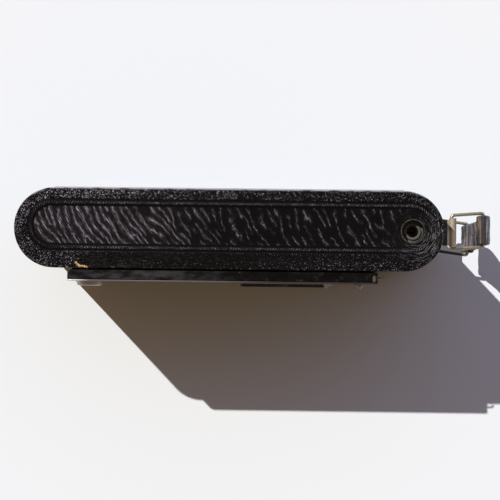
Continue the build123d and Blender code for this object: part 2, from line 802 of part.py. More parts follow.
with BuildPart() as leg_bracket:
    for low_z in (mid_z - leg_width / 2 - cheek_gap - cheek_metal, mid_z + leg_width / 2 + cheek_gap):
        with BuildSketch(Plane.XY.offset(low_z)):
            with Locations(leg_pivot):
                Circle(leg_barrel + cheek_proud)
            with Locations((leg_pivot[0] + cheek_shift, (leg_pivot[1] + cover_front_y) / 2)):
                Rectangle(cheek_length, cover_front_y - leg_pivot[1])
        extrude(amount=cheek_metal)
    with BuildSketch(Plane.XY.offset(mid_z - leg_width / 2 - cheek_gap - cheek_metal)):
        with Locations(leg_pivot):
            Circle(leg_pin)
    extrude(amount=leg_width + 2 * (cheek_gap + cheek_metal))
    with BuildSketch(facing_front(cover_front_y)):
        with Locations((leg_pivot[0] + cheek_foot_shift, mid_z)):
            Rectangle(cheek_length, leg_width + 2 * (cheek_gap + cheek_metal))
    extrude(amount=cheek_foot_metal)
write(leg_bracket.part, "stand_leg_bracket")

# ---------------------------------------------------------------- lens standard, its struts and bellows
tab_root = 2.0  # how far tabs and lug reach into the frame
opening_margin = 4.0  # round the rear lens cell
frame_opening = lens_rear_radius + opening_margin
flange_metal = 1.0
ear_corner = 2.0
with BuildPart() as standard:
    with BuildSketch(facing_front(frame_back_y)):
        with Locations((0, mid_z)):
            RectangleRounded(2 * frame_half, 2 * frame_half, frame_corner)
        for z in (ear_low_z, body_width - ear_low_z):
            tab = abs(mid_z - frame_half - ear_low_z) + tab_root
            toward = 1 if z < mid_z else -1
            with Locations((ear_x, z + toward * tab / 2)):
                Rectangle(2 * ear_half, tab)
        with Locations(((frame_half + finder_x) / 2, finder_z)):
            Rectangle(finder_x - frame_half + tab_root, 2 * finder_lug_half)
        with Locations((finder_x, finder_z)):
            Circle(finder_lug_half)
            Circle(finder_pivot_radius + eye_fit, mode=Mode.SUBTRACT)
        with Locations((0, mid_z)):
            Circle(frame_opening, mode=Mode.SUBTRACT)
    extrude(amount=frame_metal)
    with BuildSketch(facing_front(frame_back_y + frame_flange)):
        with Locations((0, mid_z)):
            RectangleRounded(2 * frame_half, 2 * frame_half, frame_corner)
            flange_half = frame_half - flange_metal
            flange_corner = frame_corner - flange_metal
            RectangleRounded(2 * flange_half, 2 * flange_half, flange_corner, mode=Mode.SUBTRACT)
    extrude(amount=frame_flange)
    for z in (ear_low_z, body_width - ear_low_z - ear_metal):
        with BuildSketch(Plane.XY.offset(z)):
            with Locations((ear_x, ear_y)):
                RectangleRounded(2 * ear_half, ear_depth, ear_corner)
        extrude(amount=ear_metal)
    for z in (strut_plane_z + link_metal + clearance, body_width - ear_low_z - ear_metal):
        with BuildSketch(Plane.XY.offset(z)):
            with Locations(strut_end):
                Circle(ear_boss_radius)
        extrude(amount=ear_pad + ear_metal)
write(standard.part, "lens_standard")

strut_lower = link_bar(
    strut_pivot, strut_end, strut_half, strut_plane_z, link_metal, link_pin_radius + eye_fit, link_pin_radius
)
write_pair(strut_lower, "standard_struts")

bellows_gap = 0.3
bellows_margin = 3.0  # round the picture aperture
bellows_inset = 0.3  # inside the standard's flange
bellows_back = (aperture_x + 2 * bellows_margin, aperture_z + 2 * bellows_margin)
bellows_front = (2 * (frame_half - bellows_inset), 2 * (frame_half - bellows_inset))
bellows_wall = 4.0
with BuildPart() as bellows:
    for shrink, mode in ((0.0, Mode.ADD), (2 * bellows_wall, Mode.SUBTRACT)):
        with BuildSketch(facing_front(gate_y - bellows_gap)):
            with Locations((0, mid_z)):
                Rectangle(bellows_back[0] - shrink, bellows_back[1] - shrink)
        with BuildSketch(facing_front(frame_back_y + frame_flange + bellows_gap)):
            with Locations((0, mid_z)):
                Rectangle(bellows_front[0] - shrink, bellows_front[1] - shrink)
        loft(mode=mode)
write(bellows.part, "bellows")

# ---------------------------------------------------------------- shutter and lens
tube_wall = 1.4
tube_fit = 0.1
cell_fit = 0.2
face_edge = 0.5
with BuildPart() as shutter_case:
    with BuildSketch(facing_front(frame_front_y)):
        with Locations((0, mid_z)):
            Circle(shutter_radius)
    extrude(amount=shutter_depth)
    with BuildSketch(facing_front(frame_front_y - shutter_metal)):
        with Locations((0, mid_z)):
            Circle(shutter_radius - shutter_metal)
    extrude(amount=shutter_depth - shutter_metal, mode=Mode.SUBTRACT)
    with BuildSketch(facing_front(frame_front_y)):
        with Locations((0, mid_z)):
            Circle(lens_bore + tube_wall + tube_fit)
    extrude(amount=shutter_metal, mode=Mode.SUBTRACT)
write(shutter_case.part, "shutter_case")

with BuildPart() as shutter_face:
    with BuildSketch(facing_front(face_y)):
        with Locations((0, mid_z)):
            Circle(shutter_radius)
            Circle(lens_radius + cell_fit, mode=Mode.SUBTRACT)
    extrude(amount=face_metal)
    fillet(shutter_face.faces().sort_by(Axis.Y)[0].outer_wire().edges(), face_edge)
write(shutter_face.part, "shutter_face")

tube_reach = 3.0  # into the shutter
tube_flange = 4.7
tube_start = 0.3  # behind the standard's plate
lens_tube_y = frame_front_y - shutter_metal - tube_reach
with BuildPart() as lens_tube:
    with BuildSketch(facing_front(frame_back_y + tube_start + tube_flange)):
        with Locations((0, mid_z)):
            Circle(lens_rear_radius)
            Circle(lens_bore, mode=Mode.SUBTRACT)
    extrude(amount=tube_flange)
    with BuildSketch(facing_front(frame_back_y + tube_start)):
        with Locations((0, mid_z)):
            Circle(lens_bore + tube_wall)
            Circle(lens_bore, mode=Mode.SUBTRACT)
    extrude(amount=frame_back_y + tube_start - lens_tube_y)
write(lens_tube.part, "rear_lens_cell")

cell_root = 1.6  # behind the shutter's face
rim_edge = 0.6
knurl_size = 0.7
knurl_count = 40
knurl_start = 1.0
knurl_length = 2.0
with BuildPart() as front_cell:
    with BuildSketch(facing_front(face_y + cell_root)):
        with Locations((0, mid_z)):
            Circle(lens_radius)
            Circle(lens_bore, mode=Mode.SUBTRACT)
    extrude(amount=cell_root + face_metal + lens_depth)
    rim_y = face_y - face_metal - lens_depth
    fillet(front_cell.faces().sort_by(Axis.Y)[0].outer_wire().edges(), rim_edge)
    with BuildSketch(facing_front(face_y - face_metal - knurl_start)):
        with Locations((0, mid_z)):
            with PolarLocations(lens_radius, knurl_count):
                Rectangle(knurl_size, knurl_size)
    extrude(amount=knurl_length, mode=Mode.SUBTRACT)
write(front_cell.part, "front_lens_cell")


glass_edge_half = 0.7
glass_crown = 0.9
glass_fit = 0.05
front_glass_depth = 2.6
rear_glass_depth = 2.4
glass_radius = lens_bore - glass_fit
sphere_radius = (glass_radius**2 + glass_crown**2) / (2 * glass_crown)
half_way_crown = glass_crown - sphere_radius + math.sqrt(sphere_radius**2 - (glass_radius / 2) ** 2)
lens_places = {"front_lens": rim_y + front_glass_depth, "rear_lens": frame_back_y + rear_glass_depth}
for name, middle_y in lens_places.items():
    edge_front_y = middle_y - glass_edge_half
    edge_back_y = middle_y + glass_edge_half
    with BuildPart() as lens:
        with BuildSketch(Plane.YZ):
            with BuildLine():
                Line((edge_front_y - glass_crown, mid_z), (edge_back_y + glass_crown, mid_z))
                ThreePointArc(
                    (edge_back_y + glass_crown, mid_z),
                    (edge_back_y + half_way_crown, mid_z + glass_radius / 2),
                    (edge_back_y, mid_z + glass_radius),
                )
                Line((edge_back_y, mid_z + glass_radius), (edge_front_y, mid_z + glass_radius))
                ThreePointArc(
                    (edge_front_y, mid_z + glass_radius),
                    (edge_front_y - half_way_crown, mid_z + glass_radius / 2),
                    (edge_front_y - glass_crown, mid_z),
                )
            make_face()
        revolve(axis=Axis((0, 0, mid_z), (0, 1, 0)))
    write(lens.part, name)

blade_y = lens_tube_y - clearance
blade_gap = 0.5
blade_metal = 0.25
blade_pivot = (15.0, 9.0)
blade_tip = (3.5, -2.0)
blade_tip_radius = 6.2
blade_eye = 0.7
blade_eye_radius = 2.5
blade_sides = {"left": (-1, blade_y), "right": (1, blade_y - blade_gap)}
for side, (sign, y) in blade_sides.items():
    with BuildPart() as blade:
        with BuildSketch(facing_front(y)):
            with Locations((sign * blade_pivot[0], mid_z + sign * blade_pivot[1])):
                Circle(blade_eye_radius)
            with Locations((sign * blade_tip[0], mid_z + sign * blade_tip[1])):
                Circle(blade_tip_radius)
            make_hull()
            with Locations((sign * blade_pivot[0], mid_z + sign * blade_pivot[1])):
                Circle(blade_eye + eye_fit, mode=Mode.SUBTRACT)
        extrude(amount=blade_metal)
    write(blade.part, f"shutter_blade_{side}")

with BuildPart() as blade_pins:
    with BuildSketch(facing_front(frame_front_y - shutter_metal)):
        for sign in (-1, 1):
            with Locations((sign * blade_pivot[0], mid_z + sign * blade_pivot[1])):
                Circle(blade_eye)
    extrude(amount=shutter_depth - shutter_metal)
write(blade_pins.part, "shutter_blade_pins")

iris_gap = 1.7
iris_y = blade_y - iris_gap
iris_radius = 13.0
iris_opening = 4.2
iris_metal = 0.4
iris_post = 1.0
iris_posts = 3
with BuildPart() as iris:
    with BuildSketch(facing_front(iris_y)):
        with Locations((0, mid_z)):
            Circle(iris_radius)
            Circle(iris_opening, mode=Mode.SUBTRACT)
    extrude(amount=iris_metal)
    with BuildSketch(facing_front(iris_y)):
        with Locations((0, mid_z)):
            with PolarLocations(iris_radius, iris_posts, start_angle=30):
                Circle(iris_post)
    extrude(amount=iris_y - face_y)
write(iris.part, "iris_plate")

dial_y = face_y - face_metal
dial_inset = 1.4  # from the shutter's edge
dial_gap = 0.8  # to the aperture lever's ring
arm_fit = 0.4
arm_ring = 2.0
ring_radius = lens_radius + arm_fit + arm_ring
dial_radius = (shutter_radius - dial_inset - dial_gap - ring_radius) / 2
dial_x = shutter_radius - dial_inset - dial_radius
dial_notches = 16
dial_notch = 0.45
dial_metal = 1.4
lever_gap = 0.2
with BuildPart() as speed_dial:
    with BuildSketch(facing_front(dial_y - lever_gap)):
        with Locations((dial_x, mid_z)):
            Circle(dial_radius)
            with PolarLocations(dial_radius, dial_notches):
                Circle(dial_notch, mode=Mode.SUBTRACT)
    extrude(amount=dial_metal)
write(speed_dial.part, "speed_dial")

arm_inset = 1.0  # from the shutter's edge
arm_tip_x = arm_inset - shutter_radius
arm_width = 1.8
arm_tip_radius = 1.6
arm_metal = 0.7
with BuildPart() as aperture_lever:
    with BuildSketch(facing_front(dial_y - lever_gap)):
        with Locations((0, mid_z)):
            Circle(ring_radius)
        with Locations((arm_tip_x / 2, mid_z)):
            Rectangle(-arm_tip_x, arm_width)
        with Locations((arm_tip_x, mid_z)):
            Circle(arm_tip_radius)
        with Locations((0, mid_z)):
            Circle(lens_radius + arm_fit, mode=Mode.SUBTRACT)
    extrude(amount=arm_metal)
write(aperture_lever.part, "aperture_lever")

release_x = 10.0
release_inset = 6.0  # from the shutter's edge
release_z = mid_z - shutter_radius + release_inset
release_reach = 9.5
release_pad = 2.4
release_boss = 1.8
release_lean = 1.0
release_metal = 0.9
with BuildPart() as release_lever:
    with BuildSketch(facing_front(dial_y - lever_gap)):
        with Locations((release_x, release_z)):
            Circle(release_boss)
        with Locations((release_x + release_lean, release_z - release_reach)):
            Circle(release_pad)
        make_hull()
    extrude(amount=release_metal)
write(release_lever.part, "shutter_release_lever")

# ---------------------------------------------------------------- reflecting finder on the standard
screen_margin = 2.0
screen_size = (finder_depth - 2 * screen_margin, 2 * finder_half - 2 * screen_margin)
finder_corner = 1.0
with BuildPart() as finder_case:
    with BuildSketch(facing_front(finder_back_y)):
        with Locations((finder_x, finder_z)):
            RectangleRounded(2 * finder_half, 2 * finder_half, finder_corner)
    extrude(amount=finder_depth)
    with BuildSketch(facing_front(finder_back_y - finder_metal)):
        with Locations((finder_x, finder_z)):
            Rectangle(2 * (finder_half - finder_metal), 2 * (finder_half - finder_metal))
    extrude(amount=finder_depth - 2 * finder_metal, mode=Mode.SUBTRACT)
    with BuildSketch(facing_front(finder_front_y + finder_metal)):
        with Locations((finder_x, finder_z)):
            Circle(finder_lens_radius)
    extrude(amount=finder_metal, mode=Mode.SUBTRACT)
    with BuildSketch(Plane.YZ.offset(finder_x + finder_half - finder_metal)):
        with Locations(((finder_back_y + finder_front_y) / 2, finder_z)):
            Rectangle(*screen_size)
    extrude(amount=finder_metal, mode=Mode.SUBTRACT)
    with BuildSketch(facing_front(frame_back_y)):
        with Locations((finder_x, finder_z)):
            Circle(finder_pivot_radius)
    extrude(amount=frame_back_y - finder_back_y)
write(finder_case.part, "finder_case")

finder_glass = 0.7
with BuildPart() as finder_lens:
    with BuildSketch(facing_front(finder_front_y + finder_metal)):
        with Locations((finder_x, finder_z)):
            Circle(finder_lens_radius)
    extrude(amount=finder_glass)
write(finder_lens.part, "finder_lens")

with BuildPart() as finder_screen:
    with BuildSketch(Plane.YZ.offset(finder_x + finder_half - finder_metal)):
        with Locations(((finder_back_y + finder_front_y) / 2, finder_z)):
            Rectangle(*screen_size)
    extrude(amount=finder_glass)
write(finder_screen.part, "finder_screen")

mirror_left_x = finder_x - finder_half + finder_metal
mirror_gap = 0.4
mirror_right_x = finder_x + finder_half - finder_metal - mirror_gap
mirror_glass = 1.2
mirror_front_y = finder_front_y + 1.6
with BuildPart() as finder_mirror:
    with BuildSketch(Plane.XY.offset(finder_z - finder_half + finder_metal)):
        with BuildLine():
            Polyline(
                (mirror_left_x, mirror_front_y),
                (mirror_left_x, mirror_front_y + mirror_glass),
                (mirror_right_x - mirror_glass, finder_back_y - finder_metal),
                (mirror_right_x, finder_back_y - finder_metal),
                close=True,
            )
        make_face()
    extrude(amount=2 * (finder_half - finder_metal))
write(finder_mirror.part, "finder_mirror")

# ---------------------------------------------------------------- carrying handle
base_metal = 0.8
base_height = 22.0
neck_metal = 1.2
neck_start = 0.4  # beyond the body's end
wire_fit = 0.1
rivet_radius = 1.7
rivet_head = 0.7
rivet_rise = 7.5  # from the ring
loop_fit = 0.3


def handle_bracket(ring_z):
    """Curved foot riveted on the round end, a neck and the barrel that holds the ring's wire."""
    with BuildPart() as bracket:
        with BuildSketch(Plane.XY.offset(ring_z - base_height / 2)):
            with Locations((arc_x, 0)):
                Circle(end_radius + base_metal)
                Circle(end_radius, mode=Mode.SUBTRACT)
            keep_between(arc_x, body_length, -bracket_half, bracket_half)
        extrude(amount=base_height)
        with BuildSketch(Plane.XY.offset(ring_z - neck_metal / 2)):
            with Locations(((barrel_x + half_length + neck_start) / 2, 0)):
                Rectangle(barrel_x - half_length - neck_start, 2 * bracket_half)
        extrude(amount=neck_metal)
        with BuildSketch(Plane.XZ.offset(-barrel_half)):
            with Locations((barrel_x, ring_z)):
                Circle(barrel_radius)
        extrude(amount=2 * barrel_half)
        with BuildSketch(Plane.XZ.offset(-barrel_half)):
            with Locations((barrel_x, ring_z)):
                Circle(ring_wire + wire_fit)
        extrude(amount=2 * barrel_half, mode=Mode.SUBTRACT)
    return bracket.part


def handle_ring(ring_z):
    """Round wire bent to a rectangle with soft corners."""
    with BuildPart() as ring:
        with BuildLine(Plane.XY.offset(ring_z)):
            outline = FilletPolyline(
                (barrel_x, -ring_half),
                (barrel_x, ring_half),
                (barrel_x + ring_reach, ring_half),
                (barrel_x + ring_reach, -ring_half),
                radius=ring_corner,
                close=True,
            )
        with BuildSketch(Plane(origin=outline @ 0, z_dir=outline % 0)):
            Circle(ring_wire)
        sweep()
    return ring.part


for place, ring_z in {"upper": ring_upper_z, "lower": ring_lower_z}.items():
    write(handle_ring(ring_z), f"handle_ring_{place}")
brackets = [handle_bracket(ring_upper_z), handle_bracket(ring_lower_z)]
write(Compound(children=brackets), "handle_brackets")

with BuildPart() as handle_rivets:
    for ring_z in (ring_upper_z, ring_lower_z):
        for z in (ring_z - rivet_rise, ring_z + rivet_rise):
            with BuildSketch(Plane.YZ.offset(half_length + base_metal)):
                with Locations((0, z)):
                    Circle(rivet_radius)
            extrude(amount=rivet_head)
write(handle_rivets.part, "handle_rivets")

strap_x = barrel_x + ring_reach
with BuildPart() as strap:
    with BuildSketch(Plane.XZ.offset(-strap_half)):
        with Locations((strap_x, (ring_upper_z + ring_lower_z) / 2)):
            Rectangle(2 * strap_leather, ring_upper_z - ring_lower_z)
        for ring_z in (ring_upper_z, ring_lower_z):
            with Locations((strap_x, ring_z)):
                Circle(strap_loop_radius)
        for ring_z in (ring_upper_z, ring_lower_z):
            with Locations((strap_x, ring_z)):
                Circle(ring_wire + loop_fit, mode=Mode.SUBTRACT)
    extrude(amount=2 * strap_half)
write(strap.part, "handle_strap")

turn_closed = math.atan2(strut_end[1] - strut_pivot[1], strut_end[0] - strut_pivot[0])
open_pivot = (hinge_x + pin_offset, hinge_y - strut_along)
open_end = (ear_x, ear_y - standard_travel)
turn_open = math.atan2(open_end[1] - open_pivot[1], open_end[0] - open_pivot[0])
strut_turn = 90.0 - math.degrees(turn_closed - turn_open)
brace_closed = math.atan2(brace_end[1] - brace_pivot[1], brace_end[0] - brace_pivot[0])
brace_open_pivot = (hinge_x + pin_offset, hinge_y - brace_along)
brace_open = math.atan2(brace_stop[1] - brace_open_pivot[1], brace_stop[0] - brace_open_pivot[0])
brace_turn = 90.0 + math.degrees(brace_open - brace_closed)
print(f"strut pivot {strut_pivot}, ear {strut_end}, turn on the bed {-strut_turn:.4f} degrees clockwise")
print(f"brace pivot {brace_pivot}, end {brace_end}, turn on the bed {brace_turn:.4f} degrees anticlockwise")
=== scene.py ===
"""Folding roll-film camera, closed: the finish of every piece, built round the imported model.

Shapes are worked out in millimetres and put into their meshes in metres. Each section makes one piece, or a
group of like pieces, in the order in which the camera is put together.
"""

import math
from contextlib import contextmanager

import bmesh
import bpy
import numpy as np
from mathutils import Matrix, Vector


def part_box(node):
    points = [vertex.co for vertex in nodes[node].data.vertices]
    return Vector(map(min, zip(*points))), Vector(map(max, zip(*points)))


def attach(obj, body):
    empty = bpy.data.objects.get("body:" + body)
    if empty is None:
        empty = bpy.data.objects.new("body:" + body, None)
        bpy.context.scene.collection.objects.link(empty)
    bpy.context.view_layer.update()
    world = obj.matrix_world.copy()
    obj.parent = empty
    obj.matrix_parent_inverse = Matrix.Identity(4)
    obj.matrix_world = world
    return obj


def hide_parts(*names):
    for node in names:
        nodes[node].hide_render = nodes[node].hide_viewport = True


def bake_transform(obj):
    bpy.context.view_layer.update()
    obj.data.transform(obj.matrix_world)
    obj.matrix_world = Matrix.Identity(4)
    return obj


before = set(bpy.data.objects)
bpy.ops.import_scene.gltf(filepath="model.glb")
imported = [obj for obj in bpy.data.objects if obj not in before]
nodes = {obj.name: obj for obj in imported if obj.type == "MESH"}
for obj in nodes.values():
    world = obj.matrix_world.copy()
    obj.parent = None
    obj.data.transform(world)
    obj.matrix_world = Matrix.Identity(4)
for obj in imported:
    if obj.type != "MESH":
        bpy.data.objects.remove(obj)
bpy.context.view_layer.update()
MM = 0.001

# ---------------------------------------------------------------- white board, sun, sky and camera
# The camera lies on a sheet of smooth white board in the sun. The sky behind it is blue, and what stands in
# front of it throws a brown light into the shadow. Seen directly, the sky is as pale as the board.
scene = bpy.context.scene
scene.view_settings.view_transform = "Standard"


def value_into(tree, source, socket):
    """Joins an output to a socket, or sets the socket where the source is a number or a colour."""
    if isinstance(source, bpy.types.NodeSocket):
        tree.links.new(source, socket)
    else:
        socket.default_value = (*source, 1) if isinstance(source, tuple) else source


def place(tree, kind, links=None, **settings):
    """Adds a node, sets its properties and inputs by name, and joins its inputs to the given outputs."""
    node = tree.nodes.new(kind)
    for name, value in settings.items():
        if hasattr(node, name):
            setattr(node, name, value)
        else:
            value_into(tree, value, node.inputs[name])
    for name, source in (links or {}).items():
        tree.links.new(source, node.inputs[name])
    return node


def arithmetic(tree, operation, *values):
    """One Math node, each of whose inputs is an output or a number."""
    node = place(tree, "ShaderNodeMath", operation=operation)
    for socket, value in zip(node.inputs, values):
        value_into(tree, value, socket)
    return node.outputs[0]


def times(tree, *factors):
    """Product of outputs and numbers."""
    product = factors[0]
    for factor in factors[1:]:
        product = arithmetic(tree, "MULTIPLY", product, factor)
    return product


def times_plus(tree, first, second, added):
    """First times second, plus what is added."""
    return arithmetic(tree, "MULTIPLY_ADD", first, second, added)


def blended(tree, amount, first, second):
    """Mixes two colours, each an output or a tuple, by a mask."""
    node = place(tree, "ShaderNodeMix", data_type="RGBA")
    for index, value in ((0, amount), (6, first), (7, second)):
        value_into(tree, value, node.inputs[index])
    return node.outputs[2]


def finish(name):
    """A new material with its tree and its Principled shader."""
    material = bpy.data.materials.new(name)
    material.use_nodes = True
    return material, material.node_tree, material.node_tree.nodes["Principled BSDF"]


def surface(tree, shader, colour, roughness, metallic=0.0, specular=0.5):
    """Gives the shader its colour and gloss, each an output or a constant on its own socket."""
    value_into(tree, colour, shader.inputs["Base Color"])
    value_into(tree, roughness, shader.inputs["Roughness"])
    value_into(tree, metallic, shader.inputs["Metallic"])
    value_into(tree, specular, shader.inputs["Specular IOR Level"])


board_half = 30.0
board_corners = [(x * board_half, y * board_half, 0) for x, y in ((-1, -1), (1, -1), (1, 1), (-1, 1))]
board_mesh = bpy.data.meshes.new("board")
board_mesh.from_pydata(board_corners, [], [(0, 1, 2, 3)])
board = bpy.data.objects.new("board", board_mesh)
scene.collection.objects.link(board)
white_board, board_tree, board_shader = finish("white_board")
surface(board_tree, board_shader, (0.9, 0.9, 0.905), 0.9, specular=0.1)
board_mesh.materials.append(white_board)

sun_from = Vector((-0.715, 0.745, 1.0))
sun_data = bpy.data.lights.new("sun", "SUN")
sun_data.energy = 3.8
sun_data.angle = math.radians(0.5)
sun_data.color = (0.98, 1.0, 0.985)
sun = bpy.data.objects.new("sun", sun_data)
scene.collection.objects.link(sun)
sun.rotation_euler = (-sun_from).to_track_quat("-Z", "Y").to_euler()

brown_light = (0.146, 0.100, 0.055)
blue_light = (0.31, 0.37, 0.61)
pale_sky = (0.885, 0.895, 0.93)
blue_way = (0.42, 0.91, 0.0)
glossy_share = 0.25
sky = bpy.data.worlds.new("sky")
sky.use_nodes = True
sky_tree = sky.node_tree
ray_way = place(sky_tree, "ShaderNodeTexCoord").outputs["Generated"]
blueward = place(sky_tree, "ShaderNodeVectorMath", {0: ray_way}, operation="DOT_PRODUCT")
blueward.inputs[1].default_value = blue_way
sky_span = {"From Min": 0.2, "From Max": 0.52}
sky_step = place(sky_tree, "ShaderNodeMapRange", Value=blueward.outputs["Value"], **sky_span).outputs[0]
ray_kind = place(sky_tree, "ShaderNodeLightPath").outputs
pale_share = arithmetic(sky_tree, "MAXIMUM", ray_kind["Is Camera Ray"], ray_kind["Is Transmission Ray"])
pale_share = times_plus(sky_tree, ray_kind["Is Glossy Ray"], glossy_share, pale_share)
sky_tint = blended(sky_tree, pale_share, blended(sky_tree, sky_step, brown_light, blue_light), pale_sky)
sky_tree.links.new(sky_tint, sky_tree.nodes["Background"].inputs["Color"])
sky_tree.nodes["Background"].inputs["Strength"].default_value = 1.0
scene.world = sky

camera_data = bpy.data.cameras.new("camera")
camera_data.angle = math.radians(18.58)
camera_data.clip_start = 0.01
camera = bpy.data.objects.new("camera", camera_data)
scene.collection.objects.link(camera)
scene.camera = camera
eye = Vector((22.3, -20.9, 825.0)) * MM
aim = Vector((10.3, -9.8, 95.0)) * MM
roll = math.radians(0.68)
forward = (aim - eye).normalized()
right = forward.cross(Vector((-math.sin(roll), math.cos(roll), 0.0))).normalized()
up = right.cross(forward)
camera.matrix_world = Matrix.Translation(eye) @ Matrix((right, up, -forward)).transposed().to_4x4()

# ---------------------------------------------------------------- casing, film gate and rails
# Side plates, end walls, rails and the film gate are folded from tinned iron, soldered at the seams and
# stoved with black enamel, which has rubbed through to grey metal where things slide.


def ramp(tree, source, low, high, to_low=0.0, to_high=1.0):
    """Smooth step from one value to another as the source goes from low to high."""
    if low > high:
        low, high, to_low, to_high = high, low, to_high, to_low
    node = place(tree, "ShaderNodeMapRange", {"Value": source}, interpolation_type="SMOOTHSTEP")
    for index, value in enumerate((low, high, to_low, to_high)):
        node.inputs[index + 1].default_value = value
    return node.outputs[0]


def clamped(tree, value):
    """The value kept between 0 and 1."""
    return place(tree, "ShaderNodeClamp", Value=value).outputs[0]


def spot_of(tree):
    """Object coordinates, which are the shared frame's metres."""
    return place(tree, "ShaderNodeTexCoord").outputs["Object"]


def spot_parts(tree):
    """The three object coordinates as numbers."""
    return place(tree, "ShaderNodeSeparateXYZ", Vector=spot_of(tree)).outputs


def noise(tree, spot, scale, detail, roughness=0.5):
    """Noise about 0.5 at a spot, with so many features to a unit."""
    node = place(tree, "ShaderNodeTexNoise", Vector=spot, Scale=scale, Detail=detail, Roughness=roughness)
    return node.outputs["Fac"]


def new_group(name, inputs, outputs):
    """A node group with named inputs, which have first values, and named outputs, all of them numbers."""
    group = bpy.data.node_groups.new(name, "ShaderNodeTree")
    for key, value in inputs.items():
        group.interface.new_socket(key, in_out="INPUT", socket_type="NodeSocketFloat").default_value = value
    for key in outputs:
        group.interface.new_socket(key, in_out="OUTPUT", socket_type="NodeSocketFloat")
    return group, place(group, "NodeGroupInput").outputs, place(group, "NodeGroupOutput").inputs


def rub_group():
    """Patchy wear: broad noise times fine noise, as a mask that grows with Amount."""
    group, inlet, outlet = new_group("rubbed_patches", {"Amount": 0.5, "Size": 0.006}, ("Mask", "Fine"))
    spot = spot_of(group)
    broad_scale = arithmetic(group, "DIVIDE", 1.0, inlet["Size"])
    broad = noise(group, spot, broad_scale, 3.0)
    fine = noise(group, spot, times(group, broad_scale, 9.0), 4.0, 0.7)
    edge = arithmetic(group, "SUBTRACT", 0.45, times(group, inlet["Amount"], 0.3))
    over = arithmetic(group, "SUBTRACT", times(group, broad, fine), edge)
    group.links.new(clamped(group, times(group, over, 9.0)), outlet["Mask"])
    group.links.new(fine, outlet["Fine"])
    return group


rubbed_patches = rub_group()


def rubbed(tree, amount, size):
    """Mask of worn patches of about the given size, and the fine noise that breaks them up."""
    outputs = place(tree, "ShaderNodeGroup", node_tree=rubbed_patches, Amount=amount, Size=size).outputs
    return outputs["Mask"], outputs["Fine"]


def bump(tree, shader, height, distance, strength=1.0):
    """Turns a height into the shader's normal."""
    node = place(tree, "ShaderNodeBump", Height=height, Distance=distance, Strength=strength)
    tree.links.new(node.outputs["Normal"], shader.inputs["Normal"])


def worn_metal(name, cover, bare, amount, size, roughness=0.4, cover_metallic=0.0, bare_metallic=0.9):
    """Coated or plated metal, worn through in patches to what lies under the coat."""
    material, tree, shader = finish(name)
    worn, fine = rubbed(tree, amount, size)
    dull = tuple(0.7 * part for part in cover)
    tint = blended(tree, ramp(tree, fine, 0.25, 0.75), dull, blended(tree, worn, cover, bare))
    gloss = ramp(tree, fine, 0.3, 0.7, roughness - 0.08, roughness + 0.15)
    surface(tree, shader, tint, gloss, ramp(tree, worn, 0.0, 1.0, cover_metallic, bare_metallic))
    bump(tree, shader, fine, 0.00006, 0.4)
    return material


def coat(material, *names):
    """Gives CAD nodes that are shown as they are their finish."""
    for name in names:
        mesh = nodes[name].data
        mesh.materials.clear()
        mesh.materials.append(material)


black_enamel = worn_metal("black_enamel", (0.011, 0.0105, 0.011), (0.2, 0.19, 0.18), 0.22, 0.007, 0.42)
coat(black_enamel, "side_plate_upper", "side_plate_lower", "end_wall_left", "end_wall_right", "front_rails")
coat(black_enamel, "film_gate", "brace_guides")

# ---------------------------------------------------------------- guide rollers and spools
# Bright steel rollers turn in the gate's brackets. The two spools are turned birch rods with japanned tin
# flanges pressed on their ends, on nickelled pivots riveted to the side plates.
steel = worn_metal("bright_steel", (0.46, 0.45, 0.44), (0.16, 0.12, 0.09), 0.25, 0.008, 0.3, 0.95, 0.6)
nickel = worn_metal("worn_nickel", (0.56, 0.52, 0.46), (0.33, 0.24, 0.13), 0.42, 0.005, 0.33, 0.95, 0.95)
coat(steel, "guide_roller_left", "guide_roller_right")
coat(steel, "bed_hinge_pin", "bed_latch_catch", "shutter_blade_pins")
coat(nickel, "spool_pivots")
rod_radius = 5.6


def hypotenuse(tree, first, second):
    """Square root of the sum of two numbers' squares."""
    return arithmetic(tree, "SQRT", times_plus(tree, first, first, times(tree, second, second)))


def joined(tree, x, y, z=0.0):
    """A vector of three numbers or outputs."""
    return place(tree, "ShaderNodeCombineXYZ", X=x, Y=y, Z=z).outputs[0]


def spool_finish(name, axis_x):
    """Birch grain along the rod, and black tin farther from the axis than the rod reaches."""
    material, tree, shader = finish(name)
    x, y, z = spot_parts(tree)
    radius = hypotenuse(tree, y, arithmetic(tree, "SUBTRACT", x, axis_x))
    tin = arithmetic(tree, "GREATER_THAN", radius, rod_radius * MM)
    grain = noise(tree, joined(tree, x, y, times(tree, z, 0.06)), 1500.0, 4.0)
    wood = blended(tree, ramp(tree, grain, 0.35, 0.65), (0.27, 0.15, 0.07), (0.47, 0.31, 0.17))
    tint = blended(tree, tin, wood, (0.012, 0.012, 0.012))
    surface(tree, shader, tint, ramp(tree, tin, 0.0, 1.0, 0.6, 0.28))
    bump(tree, shader, grain, 0.00008, 0.5)
    return material


for spool in ("supply_spool", "takeup_spool"):
    low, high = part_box(spool)
    coat(spool_finish(f"{spool}_finish", (low.x + high.x) / 2), spool)

# ---------------------------------------------------------------- blocked leather on the two sides
# Thin black calf is glued over each side plate and blocked with a hot die: a pebbled rim, a sunk line, a band
# of slanting rope stitches, a second line, and a panel of wandering raised veins that wear has turned grey.


def in_mm(box):
    """A box's lowest and highest corners as the rows of an array in millimetres."""
    return np.array([list(corner) for corner in box]) / MM


